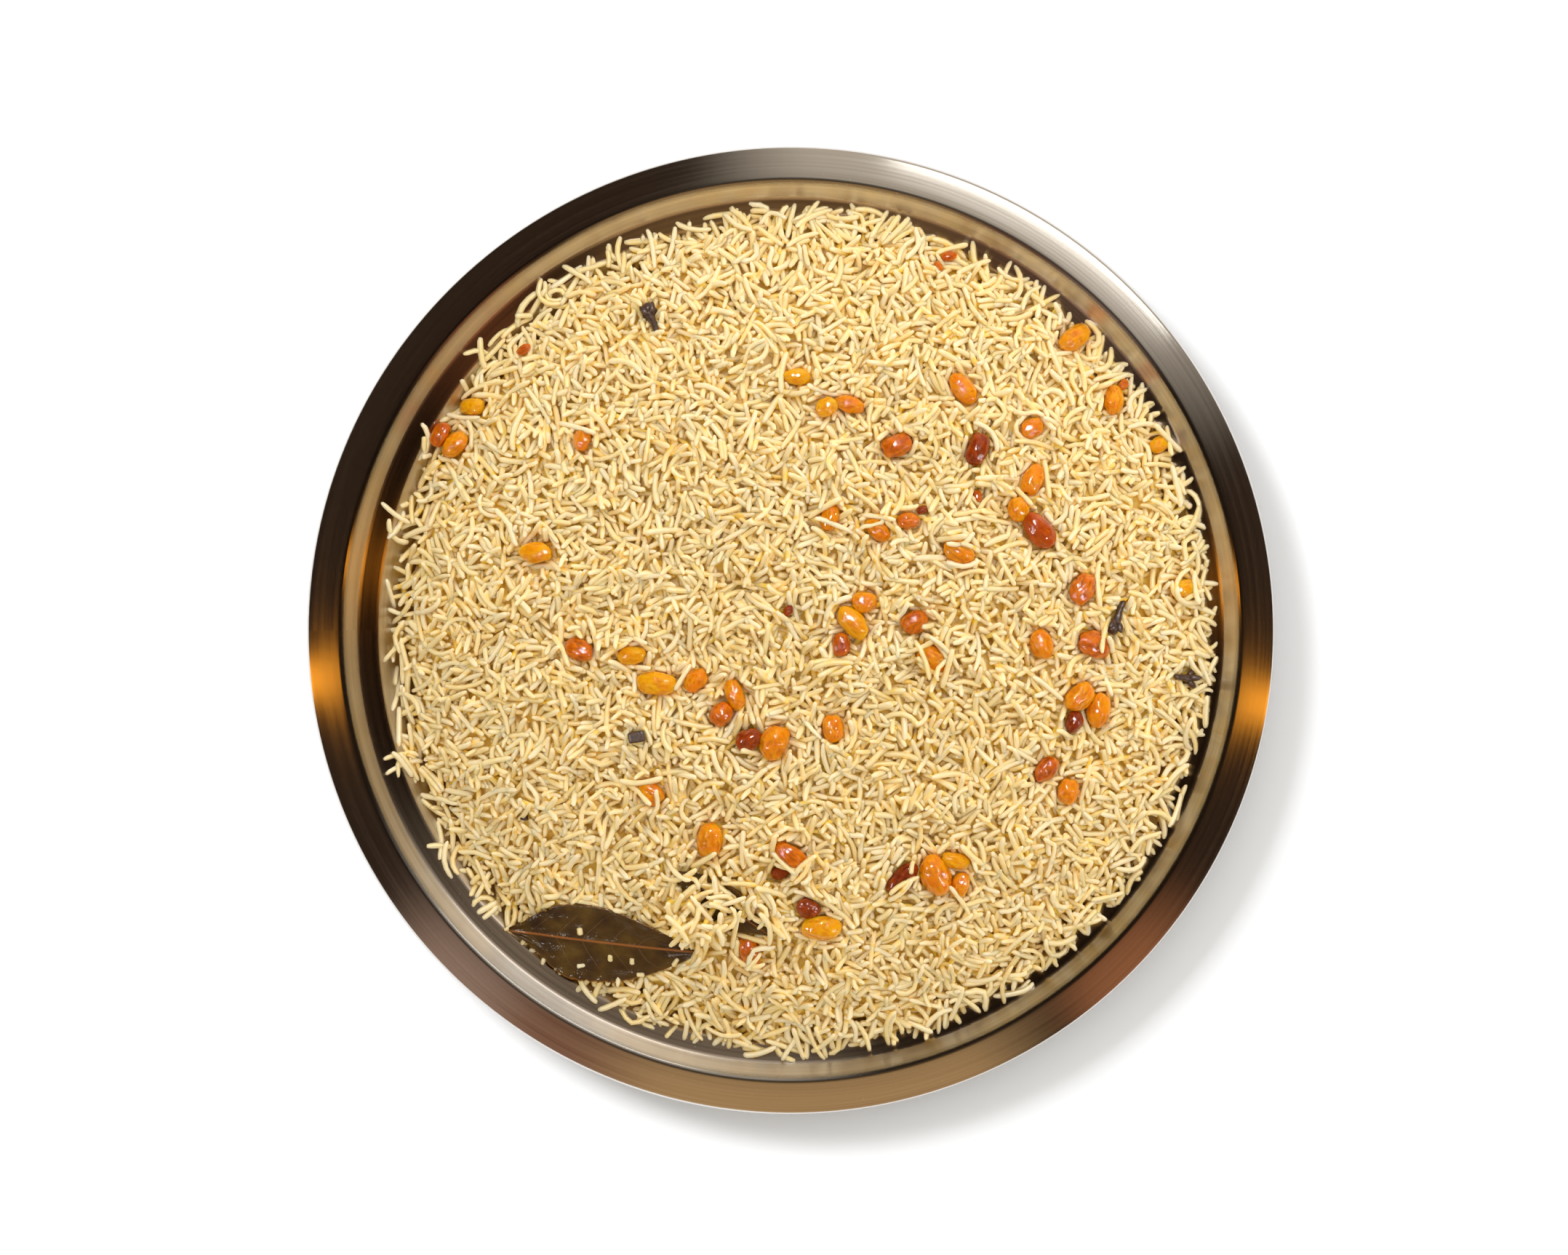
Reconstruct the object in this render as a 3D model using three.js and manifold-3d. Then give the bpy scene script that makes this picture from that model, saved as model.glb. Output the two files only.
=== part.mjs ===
// A round stainless-steel platter heaped with peshawari rice: long cooked grains with
// sultanas, cloves and bay leaves lying on them. Millimetres, +Z up. The origin is the middle
// of the platter's foot.
import * as THREE from "three";
import { mergeVertices } from "three/addons/utils/BufferGeometryUtils.js";
import Module from "manifold-3d";

const wasm = await Module();
wasm.setup();

// ------------------------------------------------------------------ driving dimensions

const GAP = 0.3; // kept between solids that touch
const WELD = 1e-3; // corners closer than this are one corner
const SLIVER = 0.03; // edges that cuts leave shorter than this are closed up

// The platter: a sheet with a flat floor, a wall, a ledge, a short upper wall and a wide rim.
const RIM_RADIUS = 178.4;
const RIM_HEIGHT = 24;
const CREST_RADIUS = 165.3;
const LEDGE_OUTER = 159.6;
const LEDGE_INNER = 152;
const LEDGE_HEIGHT = 17.9;
const FLOOR_RADIUS = 137;
const SHEET = 1;
const DISH_SIDES = 44;

// The heap of rice: a dome whose foot lies on the platter's inner wall and ledge.
const HEAP_RADIUS = 150; // mean radius of its outline
const OUTLINE_SHIFT = 3; // how far the outline reaches out on +X and draws in on -X
const OUTLINE_WAIST = 1.5; // how much wider it is along Y than along X
const OUTLINE_JITTER = 1.3;
const HEAP_CROWN = 56; // height of the dome above the table
const EDGE_DEPTH = 2; // thickness of the rice at its outline
const DOME_ROUNDNESS = 2.6;
const DOME_FALL = 0.9;
const SWELL = 1.4; // height of the broad lumps in the dome
const SWELL_LENGTH = 27;
const HEAP_RINGS = 23;

// A cooked grain of rice.
const GRAIN_LENGTH = 12;
const GRAIN_WIDTH = 2.4;
const GRAIN_SIDES = 4;
const BUMP_COUNT = 360; // ridges of grain size over the dome
const BUMP_CORNERS = 3;
const BUMP_LOW = 0.9;
const BUMP_HIGH = 2.1;
const VALLEY = 0.7; // how far the surface drops between the ridges
const CORNER_JITTER = 0.9;
const LOOSE_GRAINS = 24; // grains that stick out over the ledge
const GRAIN_SHORTEST = 0.75;
const GRAIN_LONGEST = 1.1;
const GRAIN_BEND = 0.12; // most that it bows to the side, over its length
const GRAIN_REACH = 1.5; // how far its middle lies outside the outline
const GRAIN_STRAY = 0.9; // most that it turns away from straight outwards, in radians

// Sultanas, by colour: [x, y, length, width, turn in degrees].
const SULTANAS = {
  gold: [
    [-117, 82, 10.4, 7.6, 170],
    [2, 91, 9.6, 6.6, 0],
    [13, 80, 8.2, 7.6, 30],
    [135, 68, 7.8, 6.4, 35],
    [144, 15, 10, 8.2, 10],
    [22, 3, 13.2, 9, 132],
    [-92, 28, 12.2, 8.2, 175],
    [-57, -9, 10, 7.2, 5],
    [-48, -19, 13.6, 9, 175],
    [59, -83, 10.4, 6.6, 165],
    [11, -107, 13.3, 10.2, 0],
  ],
  amber: [
    [-123, 68, 10.6, 9.2, 45],
    [-75, 69, 8.4, 7.2, 80],
    [104, 107, 15.2, 9, 41],
    [62, 87, 12.4, 8.4, 129],
    [118, 84, 11.2, 8.2, 70],
    [21, 81, 10.2, 6.6, 165],
    [87, 73, 8.8, 7.8, 30],
    [87, 54, 11.4, 8.6, 60],
    [82, 43, 9.4, 8.6, 120],
    [31, 36, 9.2, 7.6, 130],
    [14, 40, 9, 7, 75],
    [60, 28, 11.6, 9, 150],
    [26, 10, 8.8, 8.4, 10],
    [51, -10, 11.6, 8.6, 150],
    [90, -5, 10.4, 8.8, 110],
    [104, -24, 11.8, 9.8, 45],
    [111, -29, 12.2, 9.4, 80],
    [15, -35, 10, 8.6, 95],
    [100, -58, 9.2, 8.8, 90],
    [-34, -18, 9.2, 8.2, 45],
    [-20, -23, 10.8, 7.2, 105],
    [-6, -40, 12.2, 10.8, 60],
    [-50, -58, 10, 8.8, 140],
    [-29, -75, 12.6, 10.2, 82],
    [52, -88, 15.2, 11.4, 112],
    [61, -92, 9.2, 7.4, 70],
  ],
  red: [
    [-129, 72, 9.4, 7.6, 60],
    [38, 66, 11, 9, 20],
    [89, 36, 14.6, 10.4, 130],
    [105, 15, 11.4, 10, 60],
    [18, -5, 8.2, 7, 90],
    [44, 3, 9.4, 9, 30],
    [109, -5, 12.2, 10.2, 160],
    [92, -50, 10, 8, 45],
    [-76, -7, 10.4, 8.6, 160],
    [-25, -30, 8.6, 8.4, 45],
    [0, -81, 12.8, 8.4, 140],
    [-15, -116, 10.6, 8.6, 110],
  ],
  dark: [
    [67, 65, 11.8, 9, 68],
    [102, -33, 8, 7, 70],
    [-15, -39, 9.6, 8.6, 25],
    [40, -89, 14, 7.6, 46],
  ],
};
// Half-buried scraps too small to stand apart, joined to the rice they lie in.
const SCRAPS = [
  [42, 39, 8, 6, 0],
  [-4, -87, 6.6, 5.4, 20],
  [6, -100, 9, 7.5, 150],
  [-55, -38, 6, 4, 10],
];
const SULTANA_DEPTH = 0.82; // height over width
const SULTANA_FULLNESS = 1.06; // makes up for the flat facets
const SULTANA_SIDES = 6;
const SULTANA_PROFILE = [
  [0, -1],
  [0.72, -0.76],
  [1, 0.04],
  [0.68, 0.8],
  [0, 1],
]; // radius along its length, both as shares of half its size
const SULTANA_SEAT = 0.14; // how far its middle stands above the rice, over its width
const SCRAP_SEAT = -0.1;
const WALL_CLEARANCE = 5; // height of a topping's middle over the platter's wall

// Cloves: [x, y] of the middle, the turn in degrees of the calyx's end, and whether the round
// bud is still in the calyx.
const CLOVES = [
  [-50.5, 113, 110, true],
  [118, 4.5, 245, true],
  [145.5, -17.5, 355, false],
];
const CLOVE_LENGTH = 14;
const CLOVE_FOOT_RADIUS = 1.1; // the stem thickens from here
const CLOVE_NECK_RADIUS = 1.7; // to here
const CLOVE_BUD_RADIUS = 2.3;
const CLOVE_LOBES = 4;
const CLOVE_LOBE_RADIUS = 1.2;
const CLOVE_LOBE_LENGTH = 3.6;
const CLOVE_SEAT = 1.2; // height of its middle line above the rice

// Bay leaves: half-widths to either side of the midrib, at equal steps from stem to tip.
// A leaf lies on a cone: it stands at height "rest" where it crosses the radius "at".
const LEAF_THICKNESS = 0.5;
const LEAF_STRIPS = 3; // on each side of the midrib
const LEAF_RIPPLE = 9; // radians of wave from stem to tip
const LEAF_CUP = 0.8; // how far its edges turn up, over the wave's height
const BAY_LEAF = {
  stem: [-104, -110],
  tip: [-34, -117.5],
  left: [0.6, 5, 10.4, 12.8, 13.4, 12.8, 11.6, 9, 6.6, 3.2, 0.5],
  right: [0.6, 4, 9.5, 15, 16, 15.8, 14.6, 12.4, 9.2, 5, 0.5],
  steps: 12,
  at: 132,
  rest: 30,
  slope: -0.5,
  wave: 0.8,
};
const BURIED_LEAF = {
  stem: [-41, -87],
  tip: [-7, -110.5],
  left: [0.6, 3.4, 5.4, 6.4, 6.8, 6.4, 5.2, 3.6, 2, 0.4],
  right: [0.6, 4, 6.6, 8.2, 9, 9, 7.6, 5.2, 2.4, 0.4],
  steps: 8,
  at: 103,
  rest: 44.6,
  slope: -0.4,
  wave: 0.5,
};

const COLOURS = {
  steel: 0xb9b2a6,
  rice: 0xeac98a,
  gold: 0xd8921c,
  amber: 0xc8701a,
  red: 0x9e2f10,
  dark: 0x6e1c10,
  clove: 0x35201a,
  leaf: 0x3a2a12,
};

// ------------------------------------------------------------------ helpers

// Repeatable random numbers from 0 to 1.
function seededRandom(seed) {
  let state = seed >>> 0;
  return () => {
    state = (state + 0x6d2b79f5) >>> 0;
    let mixed = Math.imul(state ^ (state >>> 15), state | 1);
    mixed ^= mixed + Math.imul(mixed ^ (mixed >>> 7), mixed | 61);
    return ((mixed ^ (mixed >>> 14)) >>> 0) / 2 ** 32;
  };
}

const spread = (random, low, high) => low + (high - low) * random();

// A three.js geometry as a solid: shared corners merged, collapsed triangles dropped.
function solidOf(geometry) {
  const loose = geometry.index ? geometry.toNonIndexed() : geometry;
  const bare = new THREE.BufferGeometry();
  bare.setAttribute("position", loose.getAttribute("position"));
  const merged = mergeVertices(bare, WELD);
  const triVerts = [];
  for (let i = 0; i < merged.index.count; i += 3) {
    const [a, b, c] = merged.index.array.slice(i, i + 3);
    if (a !== b && b !== c && c !== a) triVerts.push(a, b, c);
  }
  const vertProperties = merged.getAttribute("position").array;
  return new wasm.Manifold(
    new wasm.Mesh({ numProp: 3, vertProperties, triVerts: new Uint32Array(triVerts) }),
  );
}

function geometryOf(solid) {
  const { vertProperties, triVerts } = solid.getMesh();
  const geometry = new THREE.BufferGeometry();
  geometry.setAttribute("position", new THREE.BufferAttribute(vertProperties, 3));
  geometry.setIndex(new THREE.BufferAttribute(triVerts, 1));
  geometry.computeVertexNormals();
  return geometry;
}

// A closed shape from a list of corners and a list of triangles.
function facets(corners, triangles) {
  const geometry = new THREE.BufferGeometry();
  geometry.setAttribute("position", new THREE.Float32BufferAttribute(corners.flat(), 3));
  geometry.setIndex(triangles.flat());
  return geometry;
}

const joined = (solids) => solids.reduce((whole, next) => whole.add(next));

// Cutting can leave loose scraps: the largest body is kept.
function largestBody(solid) {
  const bodies = solid.simplify(SLIVER).decompose();
  return bodies.reduce((best, body) => (body.volume() > best.volume() ? body : best));
}

function turned(profile, sides) {
  const points = profile.map(([radius, height]) => new THREE.Vector2(radius, height));
  return new THREE.LatheGeometry(points, sides).rotateX(Math.PI / 2);
}

// The profile moved sideways by a distance: below a line that runs outwards.
function offsetProfile(profile, distance) {
  const normals = profile.slice(1).map(([radius, height], i) => {
    const [r0, h0] = profile[i];
    return new THREE.Vector2(height - h0, r0 - radius).normalize();
  });
  return profile.map(([radius, height], i) => {
    const before = normals[Math.max(i - 1, 0)];
    const after = normals[Math.min(i, normals.length - 1)];
    const middle = before.clone().add(after).normalize();
    middle.multiplyScalar(distance / middle.dot(before));
    return [radius + middle.x, height + middle.y];
  });
}

// ------------------------------------------------------------------ platter

// The upper face from the middle out to the rolled lip: [radius, height].
const DISH_FACE = [
  [0, SHEET],
  [FLOOR_RADIUS, SHEET],
  [FLOOR_RADIUS + 4, SHEET + 2.2],
  [LEDGE_INNER, LEDGE_HEIGHT],
  [LEDGE_OUTER, LEDGE_HEIGHT + 1],
  [CREST_RADIUS - 1.5, RIM_HEIGHT - 1.1],
  [CREST_RADIUS, RIM_HEIGHT],
  [RIM_RADIUS - 0.9, RIM_HEIGHT - 2.1],
  [RIM_RADIUS, RIM_HEIGHT - 4.5],
];
const LEDGE_POINTS = 5; // the points of that face up to the ledge's outer edge

function dishFaceHeight(radius) {
  const i = DISH_FACE.findIndex(([r]) => r >= radius);
  const [r0, h0] = DISH_FACE[i - 1];
  const [r1, h1] = DISH_FACE[i];
  return h0 + ((radius - r0) / (r1 - r0)) * (h1 - h0);
}

function dishSolid() {
  const underside = offsetProfile(DISH_FACE, SHEET);
  return solidOf(turned([...underside, ...DISH_FACE.toReversed()], DISH_SIDES));
}

// ------------------------------------------------------------------ rice

function outlineRadius(angle) {
  return HEAP_RADIUS + OUTLINE_SHIFT * Math.cos(angle) - OUTLINE_WAIST * Math.cos(2 * angle);
}

// Height of the bare dome, without its grain bumps.
function riceHeight(x, y) {
  const outline = outlineRadius(Math.atan2(y, x));
  const edge = dishFaceHeight(outline) + EDGE_DEPTH;
  const inward = 1 - Math.min(Math.hypot(x, y) / outline, 1) ** DOME_ROUNDNESS;
  const swell = SWELL * Math.sin(x / SWELL_LENGTH + 0.4) * Math.cos(y / SWELL_LENGTH - 0.8);
  return edge + (HEAP_CROWN - edge) * inward ** DOME_FALL + swell * inward;
}

// Ring k of the dome's surface holds 6k corners, counted from the middle outwards.
const ringStart = (ring) => (ring ? 1 + 3 * ring * (ring - 1) : 0);
const corner = (ring, place) => ringStart(ring) + (ring ? place % (6 * ring) : 0);

// How high each corner is raised: short chains of neighbours form ridges of grain size.
function grainRises(random) {
  const rises = new Float32Array(ringStart(HEAP_RINGS + 1)).fill(-VALLEY);
  const directions = [
    [0, 1],
    [1, 0.5],
    [1, -0.5],
    [1, 0],
  ];
  for (let n = 0; n < BUMP_COUNT; n++) {
    const start = 1 + Math.floor(Math.sqrt(random()) * (HEAP_RINGS - 1));
    const place = random() * 6 * start;
    const [outwards, along] = directions[Math.floor(random() * directions.length)];
    const rise = spread(random, BUMP_LOW, BUMP_HIGH);
    for (let k = 0; k < BUMP_CORNERS; k++) {
      const ring = Math.min(start + k * outwards, HEAP_RINGS - 1);
      const spot = Math.round((place * ring) / start + k * along + 6 * ring);
      rises[corner(ring, spot)] = rise;
    }
  }
  return rises;
}

// Triangles of the dome's surface, between each ring and the next.
function domeTriangles() {
  const triangles = [];
  for (let ring = 1; ring <= HEAP_RINGS; ring++) {
    for (let sixth = 0; sixth < 6; sixth++) {
      for (let step = 0; step < ring; step++) {
        const outer = sixth * ring + step;
        const inner = sixth * (ring - 1) + step;
        const near = corner(ring - 1, inner);
        triangles.push([corner(ring, outer), corner(ring, outer + 1), near]);
        if (step < ring - 1) {
          triangles.push([near, corner(ring, outer + 1), corner(ring - 1, inner + 1)]);
        }
      }
    }
  }
  return triangles;
}

function domeCorners(random) {
  const rises = grainRises(random);
  const corners = [[0, 0, riceHeight(0, 0)]];
  for (let ring = 1; ring <= HEAP_RINGS; ring++) {
    for (let place = 0; place < 6 * ring; place++) {
      const angle = (Math.PI * place) / (3 * ring);
      const share = ring / HEAP_RINGS;
      const onOutline = ring === HEAP_RINGS;
      const jitter = onOutline ? OUTLINE_JITTER : CORNER_JITTER;
      const radius = outlineRadius(angle) * share + spread(random, -jitter, jitter);
      const sideways = spread(random, -jitter, jitter) / radius;
      const x = radius * Math.cos(angle + sideways);
      const y = radius * Math.sin(angle + sideways);
      const rise = onOutline ? 0 : rises[corner(ring, place)] * Math.min(1, 4 * (1 - share));
      corners.push([x, y, riceHeight(x, y) + rise]);
    }
  }
  return corners;
}

// The dome as a solid that reaches down below the platter.
function domeSolid() {
  const below = -5;
  const corners = domeCorners(seededRandom(11));
  const triangles = domeTriangles();
  const rim = 6 * HEAP_RINGS;
  const firstTop = ringStart(HEAP_RINGS);
  const firstBottom = corners.length;
  for (let i = 0; i < rim; i++) {
    const [x, y] = corners[firstTop + i];
    corners.push([x, y, below]);
  }
  const middle = corners.push([0, 0, below]) - 1;
  for (let i = 0; i < rim; i++) {
    const next = (i + 1) % rim;
    const [topA, topB] = [firstTop + i, firstTop + next];
    const [lowA, lowB] = [firstBottom + i, firstBottom + next];
    triangles.push([lowA, lowB, topA], [topA, lowB, topB], [middle, lowB, lowA]);
  }
  return solidOf(facets(corners, triangles));
}

// The room that the platter leaves, from its inner face up.
function platterRoom() {
  const above = 2 * HEAP_CROWN;
  const floor = offsetProfile(DISH_FACE.slice(0, LEDGE_POINTS), -GAP);
  return solidOf(turned([...floor, [LEDGE_OUTER, above], [0, above]], DISH_SIDES));
}

// A grain along a line of points: full in the middle, pointed at both ends.
function grainSolid(points) {
  const corners = [points[0]];
  const triangles = [];
  const across = new THREE.Vector3();
  const upright = new THREE.Vector3(0, 0, 1);
  for (let i = 1; i < points.length - 1; i++) {
    across.crossVectors(upright, points[i + 1].clone().sub(points[i - 1])).normalize();
    for (let side = 0; side < GRAIN_SIDES; side++) {
      const angle = (2 * Math.PI * side) / GRAIN_SIDES;
      const at = points[i].clone();
      at.addScaledVector(across, (Math.cos(angle) * GRAIN_WIDTH) / 2);
      at.addScaledVector(upright, (Math.sin(angle) * GRAIN_WIDTH) / 2);
      corners.push(at);
    }
  }
  const last = corners.push(points.at(-1)) - 1;
  for (let side = 0; side < GRAIN_SIDES; side++) {
    const next = (side + 1) % GRAIN_SIDES;
    triangles.push([0, 1 + next, 1 + side]);
    for (let ring = 1; ring + GRAIN_SIDES < last; ring += GRAIN_SIDES) {
      const beyond = ring + GRAIN_SIDES;
      triangles.push([ring + side, ring + next, beyond + side]);
      triangles.push([beyond + side, ring + next, beyond + next]);
    }
    const ring = last - GRAIN_SIDES;
    triangles.push([ring + side, ring + next, last]);
  }
  return solidOf(facets(corners.map((at) => at.toArray()), triangles));
}

// Grains that lie half in the heap and reach out over the ledge.
function looseGrains() {
  const random = seededRandom(23);
  const grains = [];
  for (let n = 0; n < LOOSE_GRAINS; n++) {
    const angle = (2 * Math.PI * (n + spread(random, -0.4, 0.4))) / LOOSE_GRAINS;
    const outline = outlineRadius(angle);
    const length = spread(random, GRAIN_SHORTEST, GRAIN_LONGEST) * GRAIN_LENGTH;
    const heading = angle + spread(random, -GRAIN_STRAY, GRAIN_STRAY);
    const bend = spread(random, -GRAIN_BEND, GRAIN_BEND) * length;
    const reach = Math.min(outline + GRAIN_REACH, LEDGE_OUTER - (length + GRAIN_WIDTH) / 2);
    const start = new THREE.Vector3(Math.cos(angle), Math.sin(angle), 0).multiplyScalar(reach);
    const points = [-0.5, -0.3, 0, 0.3, 0.5].map((share) => {
      const sideways = bend * (1 - 4 * share * share);
      const x = start.x + share * length * Math.cos(heading) - sideways * Math.sin(heading);
      const y = start.y + share * length * Math.sin(heading) + sideways * Math.cos(heading);
      const floor = dishFaceHeight(Math.hypot(x, y)) + GRAIN_WIDTH / 2 + 2 * GAP;
      return new THREE.Vector3(x, y, Math.max(riceHeight(x, y), floor));
    });
    grains.push(grainSolid(points));
  }
  return grains;
}

// ------------------------------------------------------------------ toppings

// Sets a shape down on the rice: its middle at x, y, its top along the slope's normal. At the
// heap's foot the platter's wall holds it up.
function seated(geometry, x, y, turn, lift) {
  const onWall = dishFaceHeight(Math.hypot(x, y)) + WALL_CLEARANCE;
  const step = 4;
  const riseX = (riceHeight(x + step, y) - riceHeight(x - step, y)) / (2 * step);
  const riseY = (riceHeight(x, y + step) - riceHeight(x, y - step)) / (2 * step);
  const normal = new THREE.Vector3(-riseX, -riseY, 1).normalize();
  const tilt = new THREE.Quaternion().setFromUnitVectors(new THREE.Vector3(0, 0, 1), normal);
  geometry.rotateZ(THREE.MathUtils.degToRad(turn));
  geometry.applyQuaternion(tilt);
  geometry.translate(x, y, Math.max(riceHeight(x, y), onWall));
  return geometry.translate(normal.x * lift, normal.y * lift, normal.z * lift);
}

function sultanaSolid([x, y, length, width, turn], seat, extra = 0) {
  const halfSizes = [length, width, width * SULTANA_DEPTH].map((size) => size / 2 + extra);
  const shape = turned(SULTANA_PROFILE, SULTANA_SIDES).rotateY(Math.PI / 2);
  shape.scale(...halfSizes.map((size) => size * SULTANA_FULLNESS));
  return solidOf(seated(shape, x, y, turn, seat * width));
}

// A thickening stem with a lobed calyx at its end, and the round bud in it if it has one.
function cloveSolid([x, y, turn, hasBud], extra = 0) {
  const neck = CLOVE_LENGTH / 2 - 1.6 * CLOVE_BUD_RADIUS;
  const stemLength = neck + CLOVE_LENGTH / 2;
  const shapes = [cloveStem(stemLength, extra).translate(neck - stemLength / 2, 0, 0)];
  for (let lobe = 0; lobe < CLOVE_LOBES; lobe++) {
    const shape = cloveLobe(extra).translate(neck - 1, 0, 0);
    shapes.push(shape.rotateX((2 * Math.PI * (lobe + 0.5)) / CLOVE_LOBES));
  }
  if (hasBud) {
    const bud = new THREE.SphereGeometry(CLOVE_BUD_RADIUS + extra, 7, 5);
    shapes.push(bud.translate(CLOVE_LENGTH / 2 - CLOVE_BUD_RADIUS, 0, 0));
  }
  return joined(shapes.map((shape) => solidOf(seated(shape, x, y, turn, CLOVE_SEAT))));
}

function cloveStem(length, extra) {
  const [neck, foot] = [CLOVE_NECK_RADIUS + extra, CLOVE_FOOT_RADIUS + extra];
  return new THREE.CylinderGeometry(neck, foot, length, 6).rotateZ(-Math.PI / 2);
}

// One lobe, leaning out from the stem at 45 degrees.
function cloveLobe(extra) {
  const [radius, length] = [CLOVE_LOBE_RADIUS + extra, CLOVE_LOBE_LENGTH + extra];
  const lobe = new THREE.ConeGeometry(radius, length, 3).translate(0, length / 2, 0);
  return lobe.rotateZ(-Math.PI / 4);
}

// A value read from evenly spaced ones, smoothly between them.
function between(values, share) {
  const points = values.map((value, i) => new THREE.Vector3(i, value, 0));
  return new THREE.CatmullRomCurve3(points).getPoint(share).y;
}

function leafSolid(leaf, extra = 0) {
  const stem = new THREE.Vector2(...leaf.stem);
  const along = new THREE.Vector2(...leaf.tip).sub(stem);
  const across = new THREE.Vector2(-along.y, along.x).normalize();
  const half = LEAF_THICKNESS / 2 + extra;
  const row = 2 * LEAF_STRIPS + 1;
  const corners = [];
  for (const side of [half, -half]) {
    for (let step = 0; step <= leaf.steps; step++) {
      const share = step / leaf.steps;
      for (let strip = -LEAF_STRIPS; strip <= LEAF_STRIPS; strip++) {
        const widths = strip < 0 ? leaf.right : leaf.left;
        const out = strip / LEAF_STRIPS;
        const offset = out * (between(widths, share) + extra);
        const at = stem.clone().addScaledVector(along, share).addScaledVector(across, offset);
        const ripple = Math.sin(LEAF_RIPPLE * share + 2 * out) * Math.abs(out);
        const lift = leaf.wave * (ripple + LEAF_CUP * out * out);
        const height = leaf.rest + leaf.slope * (at.length() - leaf.at) + lift;
        corners.push([at.x, at.y, height + side]);
      }
    }
  }
  return solidOf(facets(corners, sheetTriangles(leaf.steps, row)));
}

// Triangles of a thin sheet: its upper grid of corners, the lower grid and the edge between.
function sheetTriangles(steps, row) {
  const triangles = [];
  const lower = (steps + 1) * row;
  const addEdge = (a, b) => triangles.push([a, b, a + lower], [b, b + lower, a + lower]);
  for (let step = 0; step < steps; step++) {
    for (let strip = 0; strip < row - 1; strip++) {
      const a = step * row + strip;
      const [b, c, d] = [a + 1, a + row, a + row + 1];
      triangles.push([a, c, b], [b, c, d]);
      triangles.push([a + lower, b + lower, c + lower], [b + lower, d + lower, c + lower]);
    }
    addEdge((step + 1) * row, step * row);
    addEdge(step * row + row - 1, (step + 1) * row + row - 1);
  }
  for (let strip = 0; strip < row - 1; strip++) {
    addEdge(strip, strip + 1);
    addEdge(steps * row + strip + 1, steps * row + strip);
  }
  return triangles;
}

// ------------------------------------------------------------------ assembly

const group = new THREE.Group();

function addMesh(name, solid, colour, roughness, metalness = 0) {
  const material = new THREE.MeshStandardMaterial({ color: colour, roughness, metalness });
  const mesh = new THREE.Mesh(geometryOf(solid), material);
  mesh.name = name;
  group.add(mesh);
}

function makeSultanas() {
  const sultanas = Object.entries(SULTANAS).flatMap(([colour, places]) =>
    places.map((place, i) => {
      const name = `sultana_${colour}_${String(i + 1).padStart(2, "0")}`;
      return { name, colour, place, size: place[2] * place[3] };
    }),
  );
  return sultanas.sort((a, b) => b.size - a.size);
}

// Where sultanas press on each other the larger keeps its shape, and a leaf lies over both.
function addSultanas(sultanas, leafRoom) {
  sultanas.forEach(({ name, colour, place }, i) => {
    let solid = sultanaSolid(place, SULTANA_SEAT).subtract(leafRoom).intersect(platterRoom());
    for (const larger of sultanas.slice(0, i)) {
      solid = solid.subtract(sultanaSolid(larger.place, SULTANA_SEAT, GAP));
    }
    addMesh(name, largestBody(solid), COLOURS[colour], 0.3);
  });
}

function riceSolid(room) {
  const scraps = SCRAPS.map((scrap) => sultanaSolid(scrap, SCRAP_SEAT));
  const heap = joined([domeSolid(), ...looseGrains(), ...scraps]);
  return largestBody(heap.intersect(platterRoom()).subtract(room));
}

const sultanas = makeSultanas();
const leaves = { bay_leaf: BAY_LEAF, bay_leaf_buried: BURIED_LEAF };
const leafRoom = joined(Object.values(leaves).map((leaf) => leafSolid(leaf, GAP)));
const toppingRoom = joined([
  leafRoom,
  ...CLOVES.map((clove) => cloveSolid(clove, GAP)),
  ...sultanas.map(({ place }) => sultanaSolid(place, SULTANA_SEAT, GAP)),
]);

addMesh("dish", dishSolid(), COLOURS.steel, 0.3, 1);
addMesh("rice_heap", riceSolid(toppingRoom), COLOURS.rice, 0.55);
addSultanas(sultanas, leafRoom);
CLOVES.forEach((clove, i) => addMesh(`clove_${i + 1}`, cloveSolid(clove), COLOURS.clove, 0.6));
for (const [name, leaf] of Object.entries(leaves)) {
  addMesh(name, leafSolid(leaf), COLOURS.leaf, 0.35);
}

export default group;
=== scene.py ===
"""Looks of the platter of peshawari rice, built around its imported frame.

Lengths are in metres. The grains are laid one by one on a map of heights, so that each rests
on the grains, the fruit or the steel below it.
"""
import math

import bpy
import numpy as np
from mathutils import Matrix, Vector, noise
from mathutils.bvhtree import BVHTree


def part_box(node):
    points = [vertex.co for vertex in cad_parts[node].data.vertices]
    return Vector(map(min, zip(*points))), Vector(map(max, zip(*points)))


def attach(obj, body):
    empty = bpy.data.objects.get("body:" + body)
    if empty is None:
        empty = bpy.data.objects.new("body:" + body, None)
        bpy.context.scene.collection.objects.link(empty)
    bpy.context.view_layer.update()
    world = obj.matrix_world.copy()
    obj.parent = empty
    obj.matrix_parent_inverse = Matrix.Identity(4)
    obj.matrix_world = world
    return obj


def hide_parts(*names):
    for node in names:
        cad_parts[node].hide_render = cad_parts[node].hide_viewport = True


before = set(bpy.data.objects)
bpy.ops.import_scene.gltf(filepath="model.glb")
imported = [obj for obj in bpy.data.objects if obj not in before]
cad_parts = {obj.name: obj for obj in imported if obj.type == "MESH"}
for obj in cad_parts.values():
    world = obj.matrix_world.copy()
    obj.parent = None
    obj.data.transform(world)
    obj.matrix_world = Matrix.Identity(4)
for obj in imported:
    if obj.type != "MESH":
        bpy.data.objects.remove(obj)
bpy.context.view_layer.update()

MM = 0.001

# ------------------------------------------------------------------ driving values

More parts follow.
